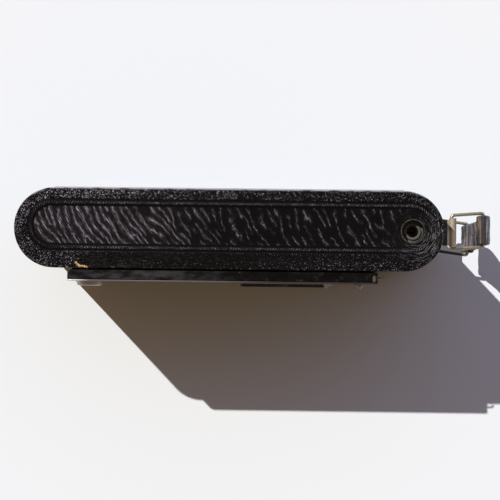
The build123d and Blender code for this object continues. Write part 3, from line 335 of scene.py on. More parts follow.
side_high = in_mm(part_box("side_leather_upper"))[1]
end_radius = side_high[1]
half_straight = side_high[0] - end_radius
leather_thick = 0.6
leather_edge = 0.42
rim_width = 6.4
panel_middle = np.array([1.25, 1.4])
panel_radius = 8.95
panel_straight = 85.7
inner_line = panel_radius + 0.45
rope_middle = panel_radius + 1.8
outer_line = panel_radius + 3.25
rope_pitch = 1.25
vein_pitch = 3.0
torn_corner = (-70.6, -17.9)
bush_x = in_mm(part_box("winding_bush")).mean(axis=0)[0]
bush_hole = 5.93
socket_x = in_mm(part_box("side_tripod_socket")).mean(axis=0)[0]
socket_hole = 6.03
weld = 0.002 * MM


def mesh_object(name, points, faces, **attributes):
    """An object at the origin from points in millimetres and quads, with numbers kept at its points."""
    mesh = bpy.data.meshes.new(name)
    mesh.from_pydata((points.reshape(-1, 3) * MM).tolist(), [], faces.reshape(-1, 4).tolist())
    for key, values in attributes.items():
        layer = mesh.attributes.new(key, "FLOAT", "POINT")
        layer.data.foreach_set("value", np.broadcast_to(values, points.shape[:-1]).ravel().astype(np.float32))
    mesh.polygons.foreach_set("use_smooth", np.full(len(mesh.polygons), True))
    mesh.update()
    thing = bpy.data.objects.new(name, mesh)
    scene.collection.objects.link(thing)
    return thing


def grid_faces(rows, columns, wrap_columns=False, wrap_rows=False):
    """Quads of a grid of points, row by row, closed round on itself where asked."""
    row = np.arange(rows if wrap_rows else rows - 1)[:, None]
    column = np.arange(columns if wrap_columns else columns - 1)[None, :]
    next_row = (row + 1) % rows
    next_column = (column + 1) % columns
    near = (row * columns + column, row * columns + next_column)
    far = (next_row * columns + next_column, next_row * columns + column)
    return np.stack(np.broadcast_arrays(*near, *far), axis=-1).reshape(-1, 4)


def soft_noise(x, y, size, seed, waves=9):
    """Sum of sine waves in seeded directions and lengths near the given size, between about -1 and 1."""
    dice = np.random.default_rng(seed)
    total = np.zeros(np.broadcast(x, y).shape)
    for _ in range(waves):
        angle, phase = dice.uniform(0, 2 * np.pi, 2)
        pace = dice.uniform(0.6, 1.7) / size
        total += np.sin(2 * np.pi * pace * (x * np.cos(angle) + y * np.sin(angle)) + phase)
    return total / math.sqrt(waves * 2.0)


def rise(value, low, high):
    """Smooth step from 0 at low to 1 at high, or down where high is the lower one."""
    t = np.clip((value - low) / (high - low), 0, 1)
    return t * t * (3 - 2 * t)


def hump(value, middle, width):
    """Bell curve of height 1 about its middle."""
    return np.exp(-(((value - middle) / width) ** 2))


def spread_round(x, y, hole, radius, spread, core=0.4):
    """Moves points out from a hole's middle, so that its core lies on its edge and what is far off stays."""
    gap = np.hypot(x - hole[0], y - hole[1])
    moved = radius + np.maximum(gap - core, 0) * spread / (radius + spread - core)
    factor = np.where(gap < radius + spread, moved / np.maximum(gap, 1e-6), 1.0)
    return hole[0] + (x - hole[0]) * factor, hole[1] + (y - hole[1]) * factor


def outside(x, y, faces, hole, radius):
    """The quads of a flat or flattened grid that don't lie in the hole."""
    gaps = np.hypot(x - hole[0], y - hole[1]).ravel()[faces]
    return faces[gaps.max(axis=1) > radius + 0.02]


@contextmanager
def reworked(thing):
    """Lends out an object's mesh for work on its faces, and puts it back with the faces outwards."""
    work = bmesh.new()
    work.from_mesh(thing.data)
    yield work
    bmesh.ops.recalc_face_normals(work, faces=work.faces)
    work.to_mesh(thing.data)
    work.free()


def face_number(face):
    """A number from a face's three lowest point numbers, so that faces fall in the same order each time."""
    first, second, third = sorted(corner.index for corner in face.verts)[:3]
    return (first * 1e5 + second) * 1e5 + third


def seal_back(thing, level):
    """Carries every open edge straight down or up to a level and fills the plane between them, so that the
    sheet is a closed solid."""
    with reworked(thing) as work:
        bmesh.ops.remove_doubles(work, verts=work.verts, dist=weld)
        open_edges = [edge for edge in work.edges if edge.is_boundary]
        made = bmesh.ops.extrude_edge_only(work, edges=open_edges)["geom"]
        for part in made:
            if isinstance(part, bmesh.types.BMVert):
                part.co.z = level * MM
        rim = [part for part in made if isinstance(part, bmesh.types.BMEdge)]
        bmesh.ops.triangle_fill(work, use_beauty=False, use_dissolve=False, edges=rim)
        work.verts.index_update()
        work.faces.sort(key=face_number)


def vein_phase(x, y):
    """Count of veins crossed along a ruler whose slant changes slowly, bent by noise, with a turn round each
    fork."""
    table = np.linspace(-110, 110, 441)
    slant = np.radians(60 - 12 * hump(table, -38, 22) + 2 * rise(table, 0, 60))
    pitch = vein_pitch * (1 + 0.35 * rise(table, -25, 35))
    run = np.interp(x, table, np.cumsum(np.sin(slant) / pitch) * (table[1] - table[0]))
    lean = (y * np.cos(np.interp(x, table, slant)) - 0.012 * y**2) / np.interp(x, table, pitch)
    phase = run + lean + 0.36 * soft_noise(x, y, 17.0, 3) + 0.10 * soft_noise(x, y, 5.0, 4)
    dice = np.random.default_rng(11)
    for fork in range(13):
        fork_x = -82 + 13 * fork + dice.uniform(-3, 3)
        fork_y = panel_middle[1] + dice.uniform(-7, 7)
        way = 1 if fork % 2 else -1
        phase = phase + way * np.arctan2(y - fork_y, x - fork_x) / (2 * np.pi)
    return phase


def side_marks(x, y, inset, hole):
    """Height in mm below the leather's top, and the numbers that its finish reads at each point: how far it
    lies along and off the rope band, its phase among the veins, and its share of panel, rim, line and wear.
    """
    from_middle, up_way = x - panel_middle[0], y - panel_middle[1]
    past = np.maximum(np.abs(from_middle) - panel_straight, 0)
    reach = np.hypot(past, up_way)
    side = np.where(up_way > 0, 1.0, -1.0)
    turn = np.where(past > 0, np.arctan2(past, np.abs(up_way) + 1e-9), 0.0)
    run = np.clip(np.abs(from_middle), 0, panel_straight) + turn * rope_middle
    inside = rise(reach, panel_radius + 0.1, panel_radius - 0.2)
    rim = rise(reach, outer_line + 0.15, outer_line + 0.5)
    lines = hump(reach, inner_line, 0.27) + 0.8 * hump(reach, outer_line, 0.3)

    # scuffs lie round the hole, most of them on its right, and the veins keep clear of it
    from_hole = np.hypot(x - hole[0], y - hole[1])
    rightmost = np.clip(np.cos(np.arctan2(y - hole[1], x - hole[0]) + 0.6), 0, 1)
    scuff = (0.06 + 0.94 * rightmost**0.7) * rise(from_hole, 6.0, 6.5) * rise(from_hole, 17.0, 12.0)
    phase = vein_phase(x, y)
    fewer = 0.65 * rise(x, -60, 5) - 0.15 * rise(x, 10, 60)
    gate = rise(soft_noise(x, y, 11.0, 6) + 0.95 - fewer, -0.3, 0.5) * inside
    gate = gate * (0.12 + 0.88 * rise(from_hole, 8.5, 14.0))
    ridge = hump(np.abs((phase - np.round(phase)) * vein_pitch), 0, 0.45) * gate
    height = -0.26 * inside - 0.08 * (1 - inside) * (1 - rim) + 0.14 * ridge
    height = height - 0.2 * lines * (1 - 0.5 * scuff) - 0.03 * rim
    height = height + 0.025 * soft_noise(x, y, 9.0, 41) * (1 - rim)

    # the rim is rubbed smooth beside the bed, and bare at both corners of the left end
    leftward = rise(x, 50, -20)
    bed_side = rise(-y, 9.8, 13.0) * rise(x, -76, -68) * rise(x, 74, 62)
    smooth = rise(-y, 9, 12) * rise(inset, 2.2, 4.2) * rise(x, -72, -60)
    knocked = hump(x, -88.5, 5) * rise(y, 6, 12) + 0.9 * hump(x, -92, 6) * rise(-y, 6, 10)
    rope_gate = rise(reach, inner_line + 0.3, inner_line + 0.6)
    rope_gate = rope_gate * rise(reach, outer_line - 0.5, outer_line - 0.9)
    rope_gate = rope_gate * (1 - 0.65 * rise(x, -74, -86)) * (1 - 0.6 * scuff)
    marks = {
        "vein_cosine": np.cos(2 * np.pi * phase), "vein_sine": np.sin(2 * np.pi * phase), "vein_gate": gate,
        "rope_run": run * np.sign(from_middle) * side,
        "rope_off": (reach - rope_middle) * side * np.sign(from_middle + 1e-9),
        "rope_show": rope_gate * (0.6 + 0.4 * rise(soft_noise(x, y, 9.0, 42), -0.7, 0.3)),
        "rim": rim * (1 - 0.75 * bed_side * leftward) * (1 - 0.55 * smooth),
        "bed_side": bed_side * (0.5 + 0.5 * leftward), "scuff": scuff,
        "dust": (0.18 + 0.82 * rise(x, 5, -62)) * inside,
        "back_edge": rise(inset, 0.55, 0.2) * rise(y, 14, 17.5) * rise(soft_noise(x, y, 12.0, 52), -1.2, 0.2),
        "tan_patch": rise(inset, 1.3, 0.0) * rise(soft_noise(x, y, 3.0, 51) - 0.5 + knocked, 0.2, 0.8),
        "panel": inside, "sunk": np.clip(lines, 0, 1) * (1 - 0.5 * scuff),
    }
    return np.minimum(height, -0.005), marks


def side_leather(name, along, turning, hole, hole_radius, upper):
    """Leather over a stadium. One parameter runs round the outline, with so many steps along each straight
    and turning at each end, the other from its rounded edge inwards through rim, band and panel to the middle
    line, and the sheet is opened round the hole."""
    edge_rows, rim_rows, band_rows, panel_rows = 5, 13, 13, 24
    lead = np.tile(np.concatenate([np.arange(along) / along, np.ones(turning)]), 2)
    angle = np.tile(np.concatenate([np.zeros(along), np.pi * np.arange(turning) / turning]), 2)
    half = np.repeat([1.0, -1.0], along + turning)
    foot = half * (2 * lead - 1)
    bend = np.linspace(0, np.pi / 2, edge_rows)
    rim_run = np.linspace(leather_edge, rim_width, rim_rows)[1:]
    inset = np.concatenate([leather_edge * (1 - np.cos(bend)), rim_run])
    fall = np.concatenate([leather_edge * (1 - np.sin(bend)), 0 * rim_run])
    share = inset / rim_width
    join = outer_line + 0.6
    radii = end_radius + (join - end_radius) * share
    radii[:edge_rows] = end_radius - inset[:edge_rows]
    shifts = rise(share, 0.07, 1.0)
    straights = half_straight + (panel_straight - half_straight) * shifts
    panel_edge = panel_radius - 0.2
    band = np.linspace(join, panel_edge, band_rows)[1:]
    inner = np.concatenate([band, np.linspace(panel_edge, 0, panel_rows)[1:]])
    flat = np.ones(len(inner))
    radii = np.concatenate([radii, inner])[:, None]
    straights = np.concatenate([straights, panel_straight * flat])[:, None]
    shifts = np.concatenate([shifts, flat])[:, None]
    fall = np.concatenate([fall, 0 * flat])[:, None]
    inset = np.concatenate([inset, rim_width + join - inner])[:, None]
    x = panel_middle[0] * shifts + foot * straights + np.sin(angle) * half * radii
    y = panel_middle[1] * shifts + np.cos(angle) * half * radii
    x, y = spread_round(x, y, hole, hole_radius, 3.0)
    height, marks = side_marks(x, y, inset, hole)
    height = height * rise(inset, 0.1, 0.9) - fall
    if upper:
        torn = np.hypot((x - torn_corner[0]) * 0.75, y - torn_corner[1])
        height = height - 0.5 * rise(torn, 3.0, 1.8) * rise(inset, 0.1, 0.9)
    top = side_high[2] if upper else 0.0
    points = np.stack([x, y, top + height if upper else top - height], axis=-1)
    faces = outside(x, y, grid_faces(*x.shape, wrap_columns=True), hole, hole_radius)
    sheet = mesh_object(name, points, faces, **marks)
    seal_back(sheet, top - leather_thick if upper else leather_thick)
    return sheet


def grain_group():
    """Leather grain: rounded cells, roughened by noise, as a height and as a mask of the tops, which are
    greyed by wear and painted lighter as a painted glint.
    """
    sockets = {"Cell": 0.0011, "Rough": 0.5, "Worn": 0.5}
    group, inlet, outlet = new_group("leather_grain", sockets, ("Height", "Tops"))
    spot = spot_of(group)
    scale = arithmetic(group, "DIVIDE", 1.0, inlet["Cell"])
    drift = place(group, "ShaderNodeTexNoise", Vector=spot, Scale=scale, Detail=2.0)
    shift = place(group, "ShaderNodeVectorMath", {0: drift.outputs["Color"]}, operation="SCALE", Scale=0.0007)
    moved = place(group, "ShaderNodeVectorMath", {0: spot, 1: shift.outputs[0]}, operation="ADD").outputs[0]
    cells = place(group, "ShaderNodeTexVoronoi", feature="SMOOTH_F1", Vector=moved, Scale=scale)
    domes = arithmetic(group, "SUBTRACT", 1.0, cells.outputs["Distance"])
    pits = noise(group, spot, times(group, scale, 2.6), 3.0, 0.6)
    broad = noise(group, spot, times(group, scale, 0.28), 2.0)
    lifted = times_plus(group, pits, 0.9, times_plus(group, broad, 1.6, domes))
    over = arithmetic(group, "SUBTRACT", lifted, times_plus(group, inlet["Worn"], -0.6, 2.45))
    group.links.new(times_plus(group, pits, inlet["Rough"], domes), outlet["Height"])
    group.links.new(clamped(group, times(group, over, 5.0)), outlet["Tops"])
    return group


leather_grain = grain_group()


def grained(tree, cell, rough, worn):
    """Height of the grain, and the mask of its tops, worn and painted as glints."""
    settings = {"Cell": cell, "Rough": rough, "Worn": worn}
    outputs = place(tree, "ShaderNodeGroup", node_tree=leather_grain, **settings).outputs
    return outputs["Height"], outputs["Tops"]


def rope_group():
    """Rope stitches: the cosine of the way along the band plus 0.8 of the way across it."""
    group, inlet, outlet = new_group("rope_stitches", {"Run": 0.0, "Off": 0.0, "Show": 1.0}, ("Dash",))
    lean = times_plus(group, inlet["Off"], 0.8, inlet["Run"])
    wave = arithmetic(group, "COSINE", times(group, lean, 2 * math.pi / rope_pitch))
    off = arithmetic(group, "ABSOLUTE", inlet["Off"])
    dash = times(group, ramp(group, wave, 0.0, 0.7), ramp(group, off, 0.75, 0.35), inlet["Show"])
    group.links.new(dash, outlet["Dash"])
    return group


rope_stitches = rope_group()


def attribute(tree, name):
    """A point attribute as a number."""
    return place(tree, "ShaderNodeAttribute", attribute_name=name).outputs["Fac"]


def rope(tree):
    """The stitch mask of a leather whose points know their place in the band."""
    marks = {name: attribute(tree, f"rope_{name.lower()}") for name in ("Run", "Off", "Show")}
    return place(tree, "ShaderNodeGroup", marks, node_tree=rope_stitches).outputs["Dash"]


def layered(tree, tint, *layers):
    """Lays colours over a first one in turn, each by its own mask."""
    for mask, colour in layers:
        tint = blended(tree, mask, tint, colour)
    return tint


def side_finish():
    """Blocked black leather: dark ground, fibrous grey veins and rope stitches flecked with painted glints,
    painted glints on the rim's pebbles, a smoother brown strip beside the bed, scratches round the hole, and
    tan fibre where the edge is bare."""
    material, tree, shader = finish("blocked_leather")
    spot = spot_of(tree)
    x, y, _ = spot_parts(tree)
    grain, _ = grained(tree, 0.00095, 0.5, 0.62)
    worn, fine = rubbed(tree, 0.55, 0.012)
    dust, rim, bed_side, scuff = (attribute(tree, name) for name in ("dust", "rim", "bed_side", "scuff"))
    sway = noise(tree, spot, 420.0, 2.0)
    # painted glints: bright specks standing in for sunlight catching the grain, used on veins, rope stitches
    # and rim
    painted_glint = ramp(tree, noise(tree, spot, 1500.0, 1.5), 0.48, 0.66)
    patch = noise(tree, spot, 130.0, 2.0)
    pebbles = noise(tree, spot, 2100.0, 1.0)

    # veins: fibres along them about 0.3 mm wide, and mm from the nearest vein's middle, which sways; the grey
    # cores are broken into painted glints
    along = times_plus(tree, x, 0.55 * 240, times(tree, y, -0.83 * 240))
    across = times_plus(tree, x, 0.83 * 2600, times(tree, y, 0.55 * 2600))
    fibre = noise(tree, joined(tree, along, across), 1.0, 3.0)
    angle = arithmetic(tree, "ARCTAN2", attribute(tree, "vein_sine"), attribute(tree, "vein_cosine"))
    swayed = times_plus(tree, sway, 1.7, arithmetic(tree, "SUBTRACT", angle, 0.85))
    off = times(tree, arithmetic(tree, "ABSOLUTE", swayed), vein_pitch / (2 * math.pi))
    off = times(tree, off, ramp(tree, x, -0.02, 0.03, 1.0, 1.3))
    core = times(tree, ramp(tree, off, 0.5, 0.05), ramp(tree, fibre, 0.35, 0.6, 0.2))
    core = times(tree, core, times_plus(tree, painted_glint, 0.9, times_plus(tree, dust, 0.34, 0.1)))
    kept = arithmetic(tree, "MAXIMUM", ramp(tree, sway, 0.36, 0.56, 0.1), times(tree, dust, 0.85))
    brushed = times(tree, ramp(tree, off, 1.5, 0.1), ramp(tree, fibre, 0.46, 0.66))
    soft = times(tree, brushed, times_plus(tree, dust, 0.5, 0.06))
    gate = times(tree, attribute(tree, "vein_gate"), ramp(tree, patch, 0.32, 0.6, 0.45))
    vein = times(tree, arithmetic(tree, "ADD", times(tree, core, kept), soft), gate)
    vein = arithmetic(tree, "MINIMUM", vein, 1.0)
    dash = rope(tree)
    # rope stitches: worn grey, and flecked with painted glints
    rope_wear_and_glint = times(tree, dash, ramp(tree, sway, 0.36, 0.6, 0.35), times_plus(tree, painted_glint, 0.75, 0.25))

    # scratches round the hole, drawn by the key
    hole_x = arithmetic(tree, "SUBTRACT", x, bush_x * MM)
    round_way = times(tree, arithmetic(tree, "ARCTAN2", y, hole_x), 2.2)
    out_way = times(tree, hypotenuse(tree, y, hole_x), 2100.0)
    rings = noise(tree, joined(tree, out_way, round_way), 1.0, 2.0)
    scratch = times(tree, ramp(tree, rings, 0.5, 0.66), scuff)

    # rim pebbles: bright flecks that are painted glints, more of them towards the back and the two ends
    many = ramp(tree, x, 0.03, -0.06, 0.0, 0.5)
    many = arithmetic(tree, "ADD", many, ramp(tree, y, -0.004, 0.013, 0.0, 0.4))
    many = arithmetic(tree, "MAXIMUM", many, ramp(tree, x, 0.0, 0.06, 0.0, 0.32))
    many = times(tree, many, ramp(tree, patch, 0.33, 0.6, 0.5, 1.15))
    fleck = arithmetic(tree, "SUBTRACT", pebbles, times_plus(tree, many, -0.105, 0.67))
    painted_pebble_glint = times(tree, clamped(tree, times(tree, fleck, 11.0)), rim, grain)
    streaks = noise(tree, joined(tree, times(tree, x, 260.0), times(tree, y, 1900.0)), 1.0, 4.0)
    rubbed_side = times(tree, ramp(tree, streaks, 0.56, 0.72), bed_side)

    ground = blended(tree, worn, (0.0020, 0.0013, 0.0014), (0.0050, 0.0041, 0.0044))
    tint = layered(
        tree, ground,
        (times(tree, dust, patch), (0.0155, 0.0125, 0.015)),
        (times_plus(tree, attribute(tree, "panel"), -0.8, 0.8), (0.0028, 0.0020, 0.0026)),
        (bed_side, (0.0026, 0.0018, 0.0015)),
        (attribute(tree, "sunk"), (0.0015, 0.0014, 0.0015)),
        (times(tree, rubbed_side, 0.3), (0.07, 0.055, 0.046)),
        (vein, (0.32, 0.28, 0.298)),
        (rope_wear_and_glint, (0.31, 0.275, 0.28)),
        (times(tree, scratch, 0.72), (0.17, 0.16, 0.155)),
        (arithmetic(tree, "MINIMUM", painted_pebble_glint, 1.0), (0.38, 0.34, 0.365)),
        (times(tree, attribute(tree, "tan_patch"), ramp(tree, fine, 0.3, 0.55)), (0.2, 0.13, 0.07)),
        (attribute(tree, "back_edge"), (0.36, 0.355, 0.38)),
    )
    gloss = ramp(tree, arithmetic(tree, "ADD", vein, scratch), 0.0, 1.0, 0.3, 0.6)
    surface(tree, shader, tint, gloss, specular=0.1)
    relief = times(tree, grain, times_plus(tree, rim, 0.8, 0.1))
    for mark, depth in ((dash, 0.9), (vein, 0.5), (scratch, 0.25), (streaks, times(tree, bed_side, 0.5))):
        relief = times_plus(tree, mark, depth, relief)
    bump(tree, shader, relief, 0.0003, 0.8)
    return material


blocked_leather = side_finish()
sides = {
    "upper": (460, 170, (bush_x, 0.0), bush_hole, True),
    "lower": (350, 120, (socket_x, 0.0), socket_hole, False),
}
for side, recipe in sides.items():
    sheet = side_leather(f"blocked_leather_{side}", *recipe)
    sheet.data.materials.append(blocked_leather)
    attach(sheet, "case")
    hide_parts(f"side_leather_{side}")

# ---------------------------------------------------------------- pebbled leather on the two ends
# The same black calf, moulded wet round the end walls and glued. It has a natural pebble, its tops greyed by
# wear and painted lighter as a painted glint, and no die lines.


def pebbled_finish(name, cell, worn_share, ruled=False):
    """Pebbled black leather with greyed tops, partly wear and partly a painted glint; where it is ruled, its
    points carry die lines and stitches.
    """
    material, tree, shader = finish(name)
    relief, tops = grained(tree, cell, 0.8, worn_share)
    worn, _ = rubbed(tree, 0.5, 0.014)
    ground = blended(tree, worn, (0.0042, 0.0036, 0.0038), (0.0095, 0.0082, 0.0085))
    tint = blended(tree, times(tree, tops, 0.55), ground, (0.10, 0.09, 0.092))
    if ruled:
        dash = rope(tree)
        tint = layered(
            tree, tint,
            (attribute(tree, "sunk"), (0.0022, 0.002, 0.0021)),
            (times(tree, dash, 0.7), (0.12, 0.11, 0.115)),
            (attribute(tree, "rubbed"), (0.075, 0.05, 0.034)),
        )
        relief = times_plus(tree, dash, 0.9, relief)
    surface(tree, shader, tint, ramp(tree, tops, 0.0, 1.0, 0.33, 0.5), specular=0.28)
    bump(tree, shader, relief, 0.00036)
    return material


pebbled_leather = pebbled_finish("pebbled_leather", 0.00105, 0.6)
coat(pebbled_leather, "end_leather_left", "end_leather_right")

# ---------------------------------------------------------------- winding bush and the side's tripod socket
# The bush is turned from brass and nickelled; the key that drove the take-up spool through it is lost. Its
# well's walls and bore are painted dark as painted shade. The tripod socket is a threaded brass cup pressed
# into the other side.
bush_top = in_mm(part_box("winding_bush"))[1][2]
cup_floor = bush_top - 3.65
cup_radius = 5.15
bore_radius = 2.8


def bush_finish():
    """Bright on the rim, dull greenish metal on the floor, and painted shade: brown-black on the walls, black
    in the bore.
    """
    material, tree, shader = finish("bush_metal")
    x, y, z = spot_parts(tree)
    _, fine = rubbed(tree, 0.6, 0.003)
    radius = hypotenuse(tree, y, arithmetic(tree, "SUBTRACT", x, bush_x * MM))
    rim = ramp(tree, z, (bush_top - 0.4) * MM, (bush_top - 0.2) * MM)
    floor = ramp(tree, z, (cup_floor + 0.1) * MM, (cup_floor - 0.1) * MM)
    floor = times(tree, floor, ramp(tree, radius, (bore_radius - 0.05) * MM, (bore_radius + 0.2) * MM))
    floor = times(tree, floor, ramp(tree, radius, (cup_radius + 0.15) * MM, (cup_radius - 0.15) * MM))
    # painted shade: the well's walls brown-black and its bore black
    bore = ramp(tree, radius, (bore_radius + 0.1) * MM, (bore_radius - 0.15) * MM)
    painted_shade_wall = blended(tree, bore, (0.006, 0.0045, 0.0035), (0.0008, 0.0007, 0.0006))
    dull = blended(tree, fine, (0.022, 0.019, 0.016), (0.2, 0.19, 0.165))
    bright = blended(tree, ramp(tree, fine, 0.42, 0.62), (0.013, 0.0105, 0.009), (0.2, 0.168, 0.13))
    tint = layered(tree, painted_shade_wall, (floor, dull), (rim, bright))
    surface(tree, shader, tint, ramp(tree, rim, 0.0, 1.0, 0.6, 0.42), times(tree, rim, 0.7), 0.3)
    bump(tree, shader, fine, 0.00015, 0.8)
    return material


brass = worn_metal("aged_brass", (0.42, 0.27, 0.1), (0.12, 0.07, 0.03), 0.35, 0.006, 0.36, 0.95, 0.7)
coat(bush_finish(), "winding_bush")
coat(brass, "side_tripod_socket")

# ---------------------------------------------------------------- back cover, its leather and red window
# The back lifts off: a tin cover curled round the roll chambers, with nickelled beads down its long edges,
# leather glued to its face, a ruby window for the film numbers, and two sliding latches.
mid_z = (side_high[2] + in_mm(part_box("side_leather_lower"))[0][2]) / 2
window_hole = 6.6
sheet_thick = 0.45


def beaded_cover():
    """Black enamel, and worn nickel where the beads stand proud of the back."""
    material, tree, shader = finish("cover_metal")
    worn, fine = rubbed(tree, 0.45, 0.007)
    proud = ramp(tree, spot_parts(tree)[1], (end_radius + 0.03) * MM, (end_radius + 0.15) * MM)
    nickelled = blended(tree, worn, (0.6, 0.59, 0.6), (0.4, 0.37, 0.33))
    enamel = blended(tree, worn, (0.008, 0.0075, 0.008), (0.06, 0.055, 0.05))
    surface(tree, shader, blended(tree, proud, enamel, nickelled), 0.4, times(tree, proud, 0.45))
    bump(tree, shader, fine, 0.00005, 0.5)
    return material


coat(beaded_cover(), "back_cover")


def framed_marks(across, gap, first_line, seed):
    """Height in mm and finish numbers of a die-stamped frame: two sunk lines with rope stitches between, at
    so many mm in from the edge. Across counts mm along the frame."""
    second_line = first_line + 2.9
    middle = (first_line + second_line) / 2
    lines = hump(gap, first_line, 0.45) + 0.9 * hump(gap, second_line, 0.38)
    inside = rise(gap, second_line, second_line + 0.9)
    worn = soft_noise(across, gap, 14.0, seed)
    height = -0.3 * np.clip(lines, 0, 1) - 0.12 * rise(gap, first_line - 0.2, first_line + 0.2) - 0.1 * inside
    height = height + 0.03 * worn * inside
    marks = {
        "rope_run": across, "rope_off": gap - middle, "sunk": np.clip(lines, 0, 1),
        "rope_show": rise(np.abs(gap - middle), 1.0, 0.8) * (0.4 + 0.6 * rise(worn, -0.8, 0.2)),
        "rubbed": rise(gap, 0.9, 0.0) * rise(soft_noise(across, gap, 4.0, seed + 1), 0.15, 0.8),
    }
    return height, marks


def edge_steps(length, step):
    """Distances from 0 to length, close together at both ends, where the edge is rounded."""
    count = max(2, round((length - 2) / step))
    tight = np.array([0, 0.04, 0.14, 0.32, 0.6])
    return np.concatenate([tight, np.linspace(1, length - 1, count), length - tight[::-1]])


def edge_drop(gap, radius=0.32):
    """Fall of a quarter-round edge."""
    near = np.clip(gap / radius, 0, 1)
    return radius * (1 - np.sqrt(np.clip(1 - (1 - near) ** 2, 0, 1)))


def back_sheet():
    """Leather over the back: one parameter runs round the outline from seam to seam, with two arcs of the
    body's end radius and a straight between, the other across from side to side."""
    box_low, box_high = in_mm(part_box("back_leather"))
    arc = np.arccos(box_low[1] / end_radius) * end_radius
    whole = 2 * arc + 2 * half_straight
    s = edge_steps(whole, 0.67)[None, :]
    z = (box_low[2] + edge_steps(box_high[2] - box_low[2], 0.67))[:, None]
    s, z = np.broadcast_arrays(s, z)
    hole = (arc + half_straight + in_mm(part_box("red_window_bezel")).mean(axis=0)[0], mid_z)
    s, z = spread_round(s, z, hole, window_hole, 3.0, 1.1)
    end_gap = np.minimum(s, whole - s)
    gap = np.minimum(end_gap, np.minimum(z - box_low[2], box_high[2] - z))
    height, marks = framed_marks(np.where(gap < end_gap - 1e-6, s, z), gap, 3.6, 61)
    radius = end_radius + height * rise(gap, 0.2, 1.0) - edge_drop(gap)
    first = np.clip((arc - s) / end_radius, 0, None)
    last = np.clip((s - arc - 2 * half_straight) / end_radius, 0, None)
    out_x, out_y = np.sin(last - first), np.cos(last - first)
    x = np.clip(s - arc - half_straight, -half_straight, half_straight) + radius * out_x
    y = radius * out_y
    outer = np.stack([x, y, z], axis=-1)
    inner = np.stack([x - sheet_thick * out_x, y - sheet_thick * out_y, z], axis=-1)
    return outer, inner, outside(s, z, grid_faces(*s.shape), hole, window_hole), marks


def seal_between(name, outer, inner, faces, marks):
    """Joins an outer and an inner skin with the same quads along every open edge."""
    count = outer.reshape(-1, 3).shape[0]
    edges = np.concatenate([faces[:, [k, (k + 1) % 4]] for k in range(4)])
    _, first, uses = np.unique(np.sort(edges, axis=1), axis=0, return_index=True, return_counts=True)
    rim = edges[first[uses == 1]]
    walls = np.stack([rim[:, 1], rim[:, 0], rim[:, 0] + count, rim[:, 1] + count], axis=-1)
    quads = np.concatenate([faces, faces[:, ::-1] + count, walls])
    thing = mesh_object(name, np.stack([outer, inner]), quads, **marks)
    with reworked(thing) as work:
        bmesh.ops.delete(work, geom=[vert for vert in work.verts if not vert.link_faces], context="VERTS")
    return thing


framed_leather = pebbled_finish("framed_leather", 0.0011, 0.58, ruled=True)
back_leather = seal_between("pebbled_back", *back_sheet())
back_leather.data.materials.append(framed_leather)
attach(back_leather, "back")
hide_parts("back_leather")


def glass(name, tint, clear=1.0, roughness=0.03):
    """Glass with a little dust on it."""
    material, tree, shader = finish(name)
    dusty, _ = rubbed(tree, 0.4, 0.004)
    surface(tree, shader, tint, ramp(tree, dusty, 0.0, 1.0, roughness, 0.2))
    shader.inputs["Transmission Weight"].default_value = clear
    shader.inputs["IOR"].default_value = 1.52
    return material


coat(glass("ruby_window", (0.35, 0.006, 0.004), 0.6, 0.12), "red_window")
coat(nickel, "red_window_bezel", "back_latch_left", "back_latch_right")

# ---------------------------------------------------------------- bellows
# Folded from thin black leather over card stiffeners, glued to the film gate behind and to the lens standard
# in front, so that every fold opens as the standard runs out.
pleat_count = 15
pleat_depth = 3.1
bellows_chamfer = 3.2
bellows_front_half = 33.7
bellows_low, bellows_high = in_mm(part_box("bellows"))
standard_run = 98.0


def bellows_skin(inset):
    """Chamfered rectangles, row by row from the gate to the standard. The rows' closed places are those from
    which a smoothly blended run of the standard spreads them evenly."""
    back_y, front_y = bellows_high[1], bellows_low[1]
    place_y = np.linspace(back_y, front_y, 4001)
    open_y = place_y - standard_run * rise((back_y - place_y) / (back_y - front_y), 0, 1)
    share = np.linspace(0, 1, 8 * pleat_count + 1)
    wanted = back_y + (front_y - standard_run - back_y) * share
    y = np.interp(-wanted, -open_y, place_y)
    fold = np.abs((share * pleat_count) % 1 - 0.5) * 2
    depth = inset + pleat_depth * (1 - rise(fold, 0.0, 1.0))
    back_half = np.array([bellows_high[0], (bellows_high[2] - bellows_low[2]) / 2])
    half = back_half + (bellows_front_half - back_half) * share[:, None] - depth[:, None]
    corner = np.repeat([[1, -1], [1, 1], [-1, 1], [-1, -1]], 2, axis=0)
    trim = np.array([[-1, 0], [0, 1], [0, -1], [-1, 0], [1, 0], [0, -1], [0, 1], [1, 0]]) * bellows_chamfer
    outline = corner[None] * half[:, None, :] + trim[None]
    steps = np.linspace(0, 1, 7)[:-1][None, None, :, None]
    sides = outline[:, :, None, :] * (1 - steps) + np.roll(outline, -1, axis=1)[:, :, None, :] * steps
    sides = sides.reshape(len(share), -1, 2)
    y = np.broadcast_to(y[:, None], sides.shape[:2])
    return np.stack([sides[..., 0], y, mid_z + sides[..., 1]], axis=-1)


def fold_finish():
    """Thin black leather, greyed and browned in patches."""
    material, tree, shader = finish("bellows_skin")
    grain, _ = grained(tree, 0.0007, 0.9, 0.3)
    worn, _ = rubbed(tree, 0.6, 0.006)
    tint = blended(tree, worn, (0.008, 0.0075, 0.008), (0.045, 0.034, 0.028))
    surface(tree, shader, tint, 0.55, specular=0.3)
    bump(tree, shader, grain, 0.00012, 0.8)
    return material


outer_skin = bellows_skin(0.0)
skin_faces = grid_faces(*outer_skin.shape[:2], wrap_columns=True)
bellows = seal_between("bellows_folds", outer_skin, bellows_skin(sheet_thick), skin_faces, {})
bellows.data.polygons.foreach_set("use_smooth", np.full(len(bellows.data.polygons), False))
bellows.data.materials.append(fold_finish())
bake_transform(bellows)
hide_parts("bellows")

